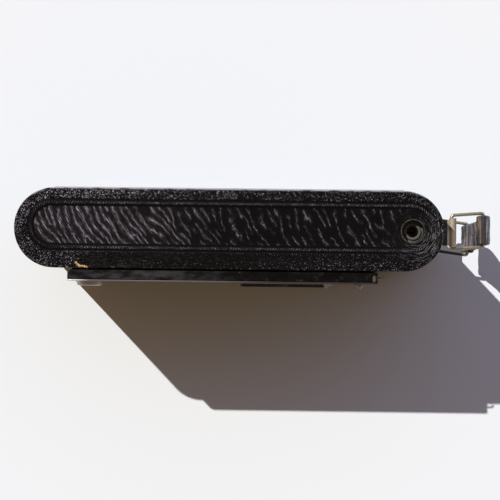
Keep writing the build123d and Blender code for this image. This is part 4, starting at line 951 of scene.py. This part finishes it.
# ---------------------------------------------------------------- drop bed, hinge and braces
# The bed is drawn from tinned iron into a shallow tray, enamelled black, hinged on a steel pin at its left
# end and held open by two nickelled braces. Its flanged edge is the long black strip in front of the body.
tray_low, tray_high = in_mm(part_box("bed"))
knocked_corner = (tray_high[0] - 1.9, tray_low[1] + 1.8)


def bed_finish():
    """Black enamel with a painted bluish sheen towards the hinge, rougher where the sheen is, with chips down
    to grey metal and the free end's corner knocked bare."""
    material, tree, shader = finish("bed_enamel")
    x, y, z = spot_parts(tree)
    worn, fine = rubbed(tree, 0.42, 0.0035)
    cloud = noise(tree, joined(tree, times(tree, x, 0.35), y, z), 300.0, 4.0)
    # painted sheen: soft bluish lighter clouds, strongest towards the hinge end
    painted_sheen = times(tree, ramp(tree, cloud, 0.38, 0.68, 0.12), ramp(tree, x, 0.012, -0.02, 0.12))
    corner_x = arithmetic(tree, "SUBTRACT", x, knocked_corner[0] * MM)
    corner_y = times_plus(tree, y, 0.5, -0.5 * knocked_corner[1] * MM)
    from_corner = times_plus(tree, fine, 0.0022, hypotenuse(tree, corner_y, corner_x))
    tint = layered(
        tree, blended(tree, painted_sheen, (0.0022, 0.0011, 0.0006), (0.04, 0.0375, 0.0395)),
        (times(tree, worn, 0.5), (0.12, 0.11, 0.105)),
        (ramp(tree, from_corner, 0.0021, 0.0017), (0.15, 0.10, 0.075)),
    )
    surface(tree, shader, tint, ramp(tree, painted_sheen, 0.0, 1.0, 0.34, 0.5), specular=0.07)
    bump(tree, shader, fine, 0.00014, 0.8)
    return material


coat(bed_finish(), "bed", "bed_hinge_leaf")
coat(nickel, "bed_braces", "standard_struts", "bed_pivot_pins", "stand_leg_bracket")
button_metal = worn_metal("button_metal", (0.30, 0.24, 0.19), (0.09, 0.065, 0.05), 0.5, 0.002, 0.4, 0.7, 0.8)
coat(button_metal, "bed_latch_button")

# ---------------------------------------------------------------- bed leather and its metal edge
# A panel of blocked leather is glued to the bed's face, opened round the tripod socket and the latch button,
# with a rolled bead of nickelled wire soldered round it.
bed_low, bed_high = in_mm(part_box("bed_leather"))
button_spot = in_mm(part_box("bed_latch_button")).mean(axis=0)[[0, 2]]
button_hole = 2.75
foot_spot = in_mm(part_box("bed_tripod_socket")).mean(axis=0)[[0, 2]]
foot_hole = 4.5
bed_corner = 1.9
frame_turn = 6.0


def bed_sheet():
    """Flat panel with round corners: a grid whose corner squares are drawn in to quarter discs."""
    x = (bed_low[0] + edge_steps(bed_high[0] - bed_low[0], 0.55))[None, :]
    z = (bed_low[2] + edge_steps(bed_high[2] - bed_low[2], 0.55))[:, None]
    x, z = np.broadcast_arrays(x, z)
    middle = (bed_low + bed_high) / 2
    half = (bed_high - bed_low) / 2
    u = np.clip((np.abs(x - middle[0]) - half[0]) / bed_corner + 1, 0, 1)
    v = np.clip((np.abs(z - middle[2]) - half[2]) / bed_corner + 1, 0, 1)
    x = x + np.sign(x - middle[0]) * bed_corner * u * (np.sqrt(1 - v**2 / 2) - 1)
    z = z + np.sign(z - middle[2]) * bed_corner * v * (np.sqrt(1 - u**2 / 2) - 1)
    x, z = spread_round(x, z, foot_spot, foot_hole, 2.5, 1.0)
    x, z = spread_round(x, z, button_spot, button_hole, 2.0, 1.0)
    over_x = np.abs(x - middle[0]) - half[0] + frame_turn
    over_z = np.abs(z - middle[2]) - half[2] + frame_turn
    far = np.hypot(np.maximum(over_x, 0), np.maximum(over_z, 0)) + np.minimum(np.maximum(over_x, over_z), 0)
    gap = np.maximum(frame_turn - far, 0)
    height, marks = framed_marks(np.where(over_x > over_z, z, x), gap, 3.2, 71)
    height = height + 0.05 * soft_noise(x, z, 12.0, 73) * rise(gap, 6.5, 8.0)
    y = bed_low[1] - np.minimum(height, -0.01) * rise(gap, 0.2, 1.0) + edge_drop(gap)
    faces = outside(x, z, grid_faces(*x.shape), foot_spot, foot_hole)
    faces = outside(x, z, faces, button_spot, button_hole)
    outer = np.stack([x, y, z], axis=-1)
    inner = np.stack([x, np.full(x.shape, bed_high[1] - 0.02), z], axis=-1)
    return outer, inner, faces, marks


bed_panel = seal_between("blocked_bed_leather", *bed_sheet())
bed_panel.data.materials.append(framed_leather)
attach(bed_panel, "bed")
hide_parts("bed_leather")


def rounded_path(corners, radius, steps, closed=False):
    """Points along straight runs between corners, each corner turned through an arc of the given radius."""
    corners = np.array(corners, dtype=float)
    count = len(corners)
    path = []
    for index, here in enumerate(corners):
        if not closed and index in (0, count - 1):
            path.append(here[None])
            continue
        back = corners[index - 1] - here
        ahead = corners[(index + 1) % count] - here
        back = back / np.linalg.norm(back)
        ahead = ahead / np.linalg.norm(ahead)
        half_turn = np.arccos(np.clip(back @ ahead, -1, 1)) / 2
        reach = radius / np.tan(half_turn)
        middle = here + (back + ahead) / np.linalg.norm(back + ahead) * radius / np.sin(half_turn)
        start = here + back * reach - middle
        end = here + ahead * reach - middle
        t = np.linspace(0, 1, steps)[:, None]
        spread = np.pi - 2 * half_turn
        path.append(middle + (np.sin((1 - t) * spread) * start + np.sin(t * spread) * end) / np.sin(spread))
    return np.concatenate(path)


def spread_even(path, step, closed=False):
    """The same path with points about the given distance apart."""
    if closed:
        path = np.concatenate([path, path[:1]])
    run = np.concatenate([[0], np.cumsum(np.linalg.norm(np.diff(path, axis=0), axis=1))])
    wanted = np.linspace(0, run[-1], max(3, round(run[-1] / step)) + 1)
    even = np.stack([np.interp(wanted, run, path[:, k]) for k in range(3)], axis=-1)
    return even[:-1] if closed else even


def tube(name, path, up, radius, sides=12, closed=False):
    """Round bar along a path that lies flat to the direction up: rows along the path, columns round it. The
    radius may change along it."""
    ahead = np.roll(path, -1, axis=0) - np.roll(path, 1, axis=0) if closed else np.gradient(path, axis=0)
    ahead = ahead / np.linalg.norm(ahead, axis=1)[:, None]
    out = np.cross(ahead, np.array(up, dtype=float))
    out = out / np.linalg.norm(out, axis=1)[:, None]
    over = np.cross(out, ahead)
    angle = 2 * np.pi * np.arange(sides) / sides
    radius = np.broadcast_to(radius, path.shape[:1])[:, None, None]
    ring = np.cos(angle)[None, :, None] * out[:, None] + np.sin(angle)[None, :, None] * over[:, None]
    faces = grid_faces(len(path), sides, wrap_columns=True, wrap_rows=closed)
    thing = mesh_object(name, path[:, None] + radius * ring, faces)
    with reworked(thing) as work:
        bmesh.ops.remove_doubles(work, verts=work.verts, dist=weld)
        bmesh.ops.holes_fill(work, edges=[edge for edge in work.edges if edge.is_boundary])
    return thing


def bead_finish():
    """Nickel, bright at the hinge end, browned and then nearly black towards the button."""
    material, tree, shader = finish("bead_nickel")
    worn, fine = rubbed(tree, 0.45, 0.009)
    x = spot_parts(tree)[0]
    dulled = arithmetic(tree, "MAXIMUM", ramp(tree, x, -0.074, -0.066), worn)
    tint = blended(tree, dulled, (0.78, 0.74, 0.71), (0.15, 0.12, 0.115))
    tint = blended(tree, ramp(tree, x, -0.02, 0.03), tint, (0.035, 0.026, 0.023))
    surface(tree, shader, tint, 0.4, 0.4)
    bump(tree, shader, fine, 0.00005, 0.5)
    return material


bead_y = bed_low[1] + 0.38
bead_out = 0.26
(x0, _, z0), (x1, _, z1) = bed_low - bead_out, bed_high + bead_out
bead_corners = [(x, bead_y, z) for x, z in ((x0, z0), (x1, z0), (x1, z1), (x0, z1))]
bead_path = spread_even(rounded_path(bead_corners, 1.5, 10, closed=True), 0.8, closed=True)
bead = tube("bed_bead", bead_path, (0, 1, 0), 0.4, closed=True)
bead.data.materials.append(bead_finish())
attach(bead, "bed")

# ---------------------------------------------------------------- black cords in the seam gaps
# A black woollen cord along each seam between casing and bed fills the narrow gap with black, a painted
# shade standing in for the shade in the gap. Each is squeezed thin at both of its ends.
cord_radius = 0.36
cord_set_in = 0.9
cord_x = np.linspace(tray_low[0] + 4.1, tray_high[0] - 0.8, 240)
cord_y = (tray_high[1] - end_radius) / 2


def drawn_in(count, first, step):
    """Share of the full radius at each of so many points: first at both ends, and more by step at each point
    inwards, up to 1."""
    end_gap = np.minimum(np.arange(count), np.arange(count)[::-1])
    return np.clip(first + step * end_gap, 0, 1)


wool, wool_tree, wool_shader = finish("black_wool")
surface(wool_tree, wool_shader, (0.0025, 0.0022, 0.0022), 0.95, specular=0.1)
bump(wool_tree, wool_shader, noise(wool_tree, spot_of(wool_tree), 2600.0, 3.0), 0.0002)
for index, cord_z in enumerate((tray_high[2] - cord_set_in, tray_low[2] + cord_set_in)):
    sway = 0.08 * soft_noise(cord_x, 0 * cord_x, 3.0, 87 + index)
    cord_path = np.stack([cord_x, np.full(len(cord_x), cord_y), cord_z + sway], axis=-1)
    cord_radii = cord_radius * drawn_in(len(cord_x), 0.25, 0.3)
    cord = tube(f"seam_cord_{index + 1}", cord_path, (0, 0, 1), cord_radii, 10)
    cord.data.materials.append(wool)
    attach(cord, "case")

# ---------------------------------------------------------------- bed fittings
# A nickelled brass tripod socket, and a folding leg of black-enamelled steel that stands the opened camera
# up. A small tongue of the same steel is riveted inside the bed's right end.
# The socket's nickel is painted pale and warm, a painted light on a part that lies in shade.
painted_light_socket_nickel = worn_metal("socket_nickel_painted_light", (0.86, 0.79, 0.72), (0.42, 0.32, 0.22), 0.45, 0.003, 0.4, 0.2, 0.7)
coat(painted_light_socket_nickel, "bed_tripod_socket")
leg_metal = worn_metal("leg_enamel", (0.012, 0.0105, 0.0105), (0.3, 0.28, 0.26), 0.42, 0.006, 0.36, 0.1, 0.9)
coat(leg_metal, "stand_leg")

tongue_corners = [(70.2, -22.4, 92.7), (73.4, -22.4, 92.7), (74.6, -21.3, 92.7)]
tongue_path = spread_even(rounded_path(tongue_corners, 0.8, 6), 0.3)
tongue_radii = 0.42 * np.clip(np.sin(np.pi * np.linspace(0.03, 0.97, len(tongue_path))) * 4, 0.05, 1)
tongue = tube("bed_tongue", tongue_path, (0, 0, 1), tongue_radii, 10)
tongue.data.materials.append(leg_metal)
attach(tongue, "bed")

# ---------------------------------------------------------------- lens standard and shutter
# The standard is a folded steel frame, nickelled. It carries a blackened brass shutter case with a nickelled
# face, a turned rear cell, two blades of blued steel and an iris plate behind them.
blued = worn_metal("blued_steel", (0.02, 0.024, 0.034), (0.2, 0.19, 0.18), 0.2, 0.005, 0.3, 0.8, 0.9)
bare_brass = (0.36, 0.25, 0.1)
black_lacquer = worn_metal("black_lacquer", (0.009, 0.009, 0.0095), bare_brass, 0.25, 0.006, 0.34, 0.1, 0.9)
coat(nickel, "lens_standard", "shutter_face", "shutter_release_lever", "aperture_lever")
coat(black_lacquer, "shutter_case", "rear_lens_cell", "front_lens_cell")
coat(blued, "shutter_blade_left", "shutter_blade_right", "iris_plate")
coat(glass("clear_glass", (0.97, 0.98, 0.97)), "front_lens", "rear_lens", "finder_lens")
screw_circle = 21.3
screw_profile = [(0, -0.5), (1.1, -0.5), (1.2, -0.1), (1.18, 0.1), (1.0, 0.28), (0.55, 0.38), (0, 0.4)]
face_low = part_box("shutter_face")[0]


def turned(name, profile, centre, axis, sides=32):
    """Solid of revolution: a profile of radii and heights, turned about an axis through a centre."""
    profile = np.array(profile, dtype=float)
    axis = np.array(axis, dtype=float)
    one = np.cross(axis, (0.36, 0.48, 0.8))
    one = one / np.linalg.norm(one)
    two = np.cross(axis, one)
    angle = 2 * np.pi * np.arange(sides) / sides
    ring = np.cos(angle)[:, None] * one + np.sin(angle)[:, None] * two
    points = np.array(centre) + profile[:, :1, None] * ring[None] + profile[:, 1:, None] * axis
    thing = mesh_object(name, points, grid_faces(len(profile), sides, wrap_columns=True))
    with reworked(thing) as work:
        bmesh.ops.remove_doubles(work, verts=work.verts, dist=weld)
    return thing


for index in range(4):
    way = math.radians(45 + 90 * index)
    centre = (screw_circle * math.cos(way), face_low.y / MM, mid_z + screw_circle * math.sin(way))
    screw = turned(f"face_screw_{index + 1}", screw_profile, centre, (0, -1, 0), 24)
    screw.data.materials.append(steel)
    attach(screw, "standard")

# ---------------------------------------------------------------- speed dial and its numbers
# A nickelled dial, turned and milled, with stamped shutter speeds filled with black wax. The stops are
# stamped in the shutter's face below the lens and filled in the same way.
coat(nickel, "speed_dial")
wax, wax_tree, wax_shader = finish("black_wax")
surface(wax_tree, wax_shader, (0.008, 0.008, 0.008), 0.6)
dial_low, dial_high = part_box("speed_dial")
dial_middle = (dial_low + dial_high) / 2
speed_circle = (dial_high.x - dial_low.x) / 2 - 1.1 * MM
stop_circle = 17.6 * MM


def stamped(name, words, height, centre, turn):
    """Small raised figures facing the front, turned about the lens axis, as a mesh."""
    curve = bpy.data.curves.new(name, "FONT")
    curve.body = words
    curve.size = height
    curve.extrude = 0.04 * MM
    curve.align_x = "CENTER"
    curve.align_y = "CENTER"
    curve.resolution_u = 3
    letters = bpy.data.objects.new(f"{name}_outline", curve)
    scene.collection.objects.link(letters)
    bpy.context.view_layer.update()
    mesh = bpy.data.meshes.new_from_object(letters)
    mesh.name = name
    bpy.data.objects.remove(letters)
    facing = Matrix.Rotation(math.pi / 2, 4, "X")
    mesh.transform(Matrix.Translation(centre) @ Matrix.Rotation(turn, 4, "Y") @ facing)
    mesh.materials.clear()
    mesh.materials.append(wax)
    thing = bpy.data.objects.new(name, mesh)
    scene.collection.objects.link(thing)
    return thing


for index, words in enumerate(("T", "B", "25", "50", "100")):
    way = math.radians(-72 + 36 * index)
    out = Vector((math.sin(way), 0.0, math.cos(way))) * speed_circle
    spot = Vector((dial_middle.x, dial_low.y, dial_middle.z)) + out
    figure = stamped(f"dial_figure_{index + 1}", words, 1.25 * MM, spot, way)
    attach(figure, "dial")

for index, words in enumerate(("8", "16", "32", "64")):
    way = math.radians(150 + 20 * index)
    out = Vector((math.sin(way), 0.0, math.cos(way))) * stop_circle
    spot = Vector((0.0, face_low.y, mid_z * MM)) + out
    figure = stamped(f"stop_figure_{index + 1}", words, 2.0 * MM, spot, way)
    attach(figure, "standard")

# ---------------------------------------------------------------- reflecting finder
# A little folded box, lacquered black, with a lens in front, a silvered mirror set across it and a ground
# screen on its side.
coat(black_lacquer, "finder_case")
mirror, mirror_tree, mirror_shader = finish("silvered_mirror")
surface(mirror_tree, mirror_shader, (0.8, 0.8, 0.78), 0.06, 1.0)
coat(mirror, "finder_mirror")
coat(glass("ground_screen", (0.8, 0.84, 0.8), 0.8, 0.45), "finder_screen")

# ---------------------------------------------------------------- handle brackets
# Each is a nickelled strip rolled at its outer end into a barrel for the ring's wire; its foot is riveted to
# the end and enamelled with it.
neck_end = in_mm(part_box("handle_brackets"))[1][0] - 4.4


def bracket_finish():
    """Black enamel on the foot and the neck, yellowed worn nickel on the barrel, with a painted light: the
    barrel's lower half, in the body's shadow, is painted pale.
    """
    material, tree, shader = finish("bracket_metal")
    x, y, _ = spot_parts(tree)
    worn, fine = rubbed(tree, 0.55, 0.004)
    barrel = ramp(tree, x, (neck_end - 0.15) * MM, (neck_end + 0.15) * MM)
    old_nickel = blended(tree, worn, (0.50, 0.42, 0.29), (0.24, 0.18, 0.09))
    nickelled = blended(tree, ramp(tree, fine, 0.3, 0.55), (0.2, 0.16, 0.1), old_nickel)
    # painted light: the barrel's lower half, which lies in the body's shadow, is painted pale brass
    nickelled = blended(tree, ramp(tree, y, 0.003, -0.001), nickelled, (0.85, 0.70, 0.46))
    enamel = blended(tree, worn, (0.022, 0.0175, 0.013), (0.045, 0.036, 0.026))
    gloss = ramp(tree, fine, 0.3, 0.7, 0.38, 0.55)
    surface(tree, shader, blended(tree, barrel, enamel, nickelled), gloss, times(tree, barrel, 0.35))
    bump(tree, shader, fine, 0.0001, 0.7)
    return material


coat(bracket_finish(), "handle_brackets", "handle_rivets")

# ---------------------------------------------------------------- handle rings
# Each ring is one length of nickelled wire bent to a rectangle, its two ends meeting inside the barrel. Both
# have been pulled a little out of square.
plain_wire_radius = 0.85
wire_radius = 0.8
wire_set_in = 0.5
pulled_in = 0.8
ring_low, ring_high = in_mm(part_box("handle_ring_upper"))
barrel_x = ring_low[0] + plain_wire_radius
ring_outer_x = ring_high[0] - plain_wire_radius
wire_outer_x = ring_outer_x - pulled_in
wire_start_x = barrel_x - wire_set_in
wire_end_y = 5.0


def ring_finish():
    """Yellowed nickel, worn brown in patches, with a painted shade, nearly black, along the near arm of the
    lower ring.
    """
    material, tree, shader = finish("ring_nickel")
    x, y, z = spot_parts(tree)
    worn, fine = rubbed(tree, 0.5, 0.004)
    tint = blended(tree, worn, (0.44, 0.38, 0.27), (0.17, 0.125, 0.06))
    tint = blended(tree, ramp(tree, fine, 0.25, 0.75), (0.31, 0.27, 0.19), tint)
    # painted shade: the lower ring's near arm, which lies in the body's shadow, is painted nearly black
    painted_shade_arm = times(tree, ramp(tree, y, -0.004, -0.006), ramp(tree, x, 0.1225, 0.1205))
    painted_shade_arm = times(tree, painted_shade_arm, ramp(tree, z, 0.05, 0.03))
    tint = blended(tree, painted_shade_arm, tint, (0.05, 0.043, 0.038))
    surface(tree, shader, tint, ramp(tree, fine, 0.3, 0.7, 0.26, 0.49), 0.88)
    bump(tree, shader, fine, 0.00006, 0.4)
    return material


ring_metal = ring_finish()
for side, lean in (("upper", 0.085), ("lower", -0.14)):
    ring_low, ring_high = in_mm(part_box(f"handle_ring_{side}"))
    far_y = ring_high[1] - plain_wire_radius
    near_y = 0.5 - far_y
    drift = lean * (wire_outer_x - barrel_x)
    corners = ((wire_start_x, wire_end_y), (wire_start_x, far_y), (wire_outer_x, far_y + drift),
               (wire_outer_x, near_y + drift), (wire_start_x, near_y), (wire_start_x, -wire_end_y))
    ring_path = rounded_path([(x, y, (ring_low[2] + ring_high[2]) / 2) for x, y in corners], 1.15, 9)
    ring_path = spread_even(ring_path, 0.35)
    ring_radii = wire_radius * drawn_in(len(ring_path), 0.3, 0.35)
    ring = tube(f"wire_ring_{side}", ring_path, (0, 0, 1), ring_radii, 16)
    ring.data.materials.append(ring_metal)
    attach(ring, f"ring_{side}")
    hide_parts(f"handle_ring_{side}")

# ---------------------------------------------------------------- handle strap
# One band of thick brown-black harness leather, carried round both rings' outer wires and stitched to itself.
# It is stiff, cracked across the loops and frayed along its edges.
strap_low, strap_high = in_mm(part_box("handle_strap"))
strap_half = (strap_high[1] - strap_low[1]) / 2 - 0.2
strap_x = ring_outer_x - pulled_in
strap_skew = 0.048
loop_play = 0.25
loop_low_z = in_mm(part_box("handle_ring_lower")).mean(axis=0)[2] - loop_play
loop_high_z = in_mm(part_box("handle_ring_upper")).mean(axis=0)[2] + loop_play
loop_mid_z = (loop_low_z + loop_high_z) / 2
loop_radius = 2.45
ply_gap = 0.98
ply_half = 0.75
fray_most = 0.15


def strap_line(count):
    """Middle line of the band: up the inner side, over the upper wire, down the outer side, round the lower
    one. Away from the wires the two plies draw together."""
    reach = (loop_high_z - loop_low_z) / 2
    run = np.linspace(-1, 1, count)
    off = ply_gap + (loop_radius - ply_gap) * rise(np.abs(run) * reach, reach - 10.5, reach)
    turn = np.linspace(0, np.pi, 28)[1:-1]
    bow, lift = loop_radius * np.cos(turn), loop_radius * np.sin(turn)
    inner = np.stack([-off, loop_mid_z + reach * run], axis=-1)
    over = np.stack([-bow, loop_high_z + lift], axis=-1)
    outer = np.stack([off[::-1], loop_mid_z - reach * run], axis=-1)
    under = np.stack([bow, loop_low_z - lift], axis=-1)
    return np.concatenate([inner, over, outer, under])


def strap_band():
    """Rows along the closed line, columns round a flat cross-section with round edges, with slow creases."""
    line = strap_line(150)
    ahead = np.roll(line, -1, axis=0) - np.roll(line, 1, axis=0)
    ahead = ahead / np.linalg.norm(ahead, axis=1)[:, None]
    line_x, line_z = line[:, :1], line[:, 1:]
    wide = np.linspace(-1, 1, 30)
    edge = np.sqrt(np.clip(1 - np.clip((np.abs(wide) - 0.9) / 0.1, 0, 1) ** 2, 0, 1))
    across = np.concatenate([wide, wide[::-1][1:-1]])
    face = np.concatenate([edge, -edge[::-1][1:-1]])
    run = np.cumsum(np.linalg.norm(ahead, axis=1))[:, None] * 0.45
    fray = 0.13 * soft_noise(run, 0 * run, 3.0, 81) * np.sign(across) * (np.abs(across) > 0.6)
    y = np.clip(across * strap_half + fray, -strap_half - fray_most, strap_half + fray_most)
    y = y - 1.3 * rise(line_z, 20, 65) * rise(line_z, 74.5, 71.5) * (across > 0) * (line_x < 0)
    y = y + strap_skew * (line_z - loop_mid_z) - 0.12
    slack = 0.10 * soft_noise(run, across * 7.3, 6.5, 82) + 0.05 * soft_noise(run, across * 7.3, 2.0, 83)
    off = ply_half * face + slack * (face > 0)
    points = np.stack([strap_x + line_x - ahead[:, 1:] * off, y, line_z + ahead[:, :1] * off], axis=-1)
    worn_edge = rise(np.abs(across), 0.8, 0.97)
    return points, {"strap_run": run, "strap_across": across * strap_half, "strap_edge": worn_edge}


def strap_finish():
    """Harness leather: banded where it bends over the upper wire, dark brown on the outer ply, greyed on the
    inner one, and broken up everywhere by dark cracks."""
    material, tree, shader = finish("harness_leather")
    worn, fine = rubbed(tree, 0.6, 0.005)
    run, across = attribute(tree, "strap_run"), attribute(tree, "strap_across")
    broad_spot = joined(tree, times(tree, run, 0.11), times(tree, across, 0.06))
    narrow_spot = joined(tree, times(tree, run, 0.55), times(tree, across, 0.05))
    streaks = noise(tree, broad_spot, 1.0, 6.0, 0.74)
    creases = noise(tree, narrow_spot, 1.0, 6.0, 0.74)
    x, _, z = spot_parts(tree)
    outward = arithmetic(tree, "SUBTRACT", x, ring_outer_x * MM)
    straight = ramp(tree, z, (loop_high_z - 0.75) * MM, (loop_high_z - 2.25) * MM)
    outer_ply = times(tree, straight, ramp(tree, outward, 0.0, 0.0003))
    inner_ply = times(tree, straight, ramp(tree, outward, 0.0, -0.0003))

    # over the upper wire: a brown band, black grain, and a pale outward edge that is a painted highlight,
    # since that side lies in shade
    brown = times(tree, ramp(tree, outward, -0.0019, -0.0024), ramp(tree, outward, -0.0039, -0.0035))
    chafed = times(tree, arithmetic(tree, "MAXIMUM", worn, attribute(tree, "strap_edge")), 0.6)
    tint = layered(
        tree, blended(tree, brown, (0.052, 0.043, 0.037), (0.31, 0.21, 0.13)),
        (ramp(tree, outward, -0.0001, 0.0005), (0.62, 0.63, 0.58)),
        (outer_ply, blended(tree, chafed, (0.016, 0.012, 0.010), (0.13, 0.085, 0.055))),
        (inner_ply, (0.30, 0.26, 0.25)),
    )
    line = times(tree, ramp(tree, streaks, 0.44, 0.58), straight)
    fold = times(tree, ramp(tree, creases, 0.42, 0.56), ramp(tree, straight, 1, 0, 0.25))
    light = arithmetic(tree, "MAXIMUM", line, times(tree, fold, 0.8))
    light = times(tree, light, ramp(tree, fine, 0.3, 0.6, 0.55))
    surface(tree, shader, blended(tree, light, (0.026, 0.023, 0.03), tint), 0.62, specular=0.3)
    relief = arithmetic(tree, "ADD", times_plus(tree, fine, 0.5, streaks), creases)
    bump(tree, shader, relief, 0.0006, 0.9)
    return material


strap_points, strap_marks = strap_band()
strap_faces = grid_faces(*strap_points.shape[:2], wrap_columns=True, wrap_rows=True)
strap = mesh_object("leather_strap", strap_points, strap_faces, **strap_marks)
strap.data.materials.append(strap_finish())
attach(strap, "strap")
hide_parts("handle_strap")

# ---------------------------------------------------------------- torn brass at the bed's corner
# A shim of thin brass between plate and leather has been torn out in two strips and crumpled, beside the left
# end of the bed.
shim_thick = 0.2
shim_low, shim_high = side_high[2] - 1.0, side_high[2] + 0.13


def crumpled(name, start, end, width, seed):
    """Ribbon from start to end whose height and edges wander."""
    t = np.linspace(0, 1, 26)[:, None]
    w = np.linspace(-0.5, 0.5, 8)[None, :]
    start, end = np.array(start), np.array(end)
    way = (end - start)[:2] / np.linalg.norm((end - start)[:2])
    x = start[0] + (end[0] - start[0]) * t - way[1] * w * width + 0.18 * soft_noise(t, w, 0.5, seed)
    y = start[1] + (end[1] - start[1]) * t + way[0] * w * width + 0.18 * soft_noise(t, w, 0.5, seed + 1)
    z = start[2] + (end[2] - start[2]) * t + 0.22 * soft_noise(t, 0.6 * w, 0.16, seed + 2)
    top = np.stack(np.broadcast_arrays(x, y, np.clip(z, shim_low, shim_high)), axis=-1)
    return seal_between(name, top, top - np.array([0, 0, shim_thick]), grid_faces(*top.shape[:2]), {})


torn_brass = worn_metal("torn_brass", (0.64, 0.43, 0.17), (0.2, 0.11, 0.04), 0.5, 0.0012, 0.4, 0.5, 0.3)
strips = (
    ((-73.3, -16.5, 94.95), (-70.6, -18.8, 94.85), 1.1),
    ((-71.2, -18.1, 94.95), (-67.5, -18.9, 94.85), 1.0),
)
for index, (start, end, width) in enumerate(strips):
    scrap = crumpled(f"torn_brass_{index + 1}", start, end, width, 90 + 5 * index)
    scrap.data.materials.append(torn_brass)
    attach(scrap, "case")
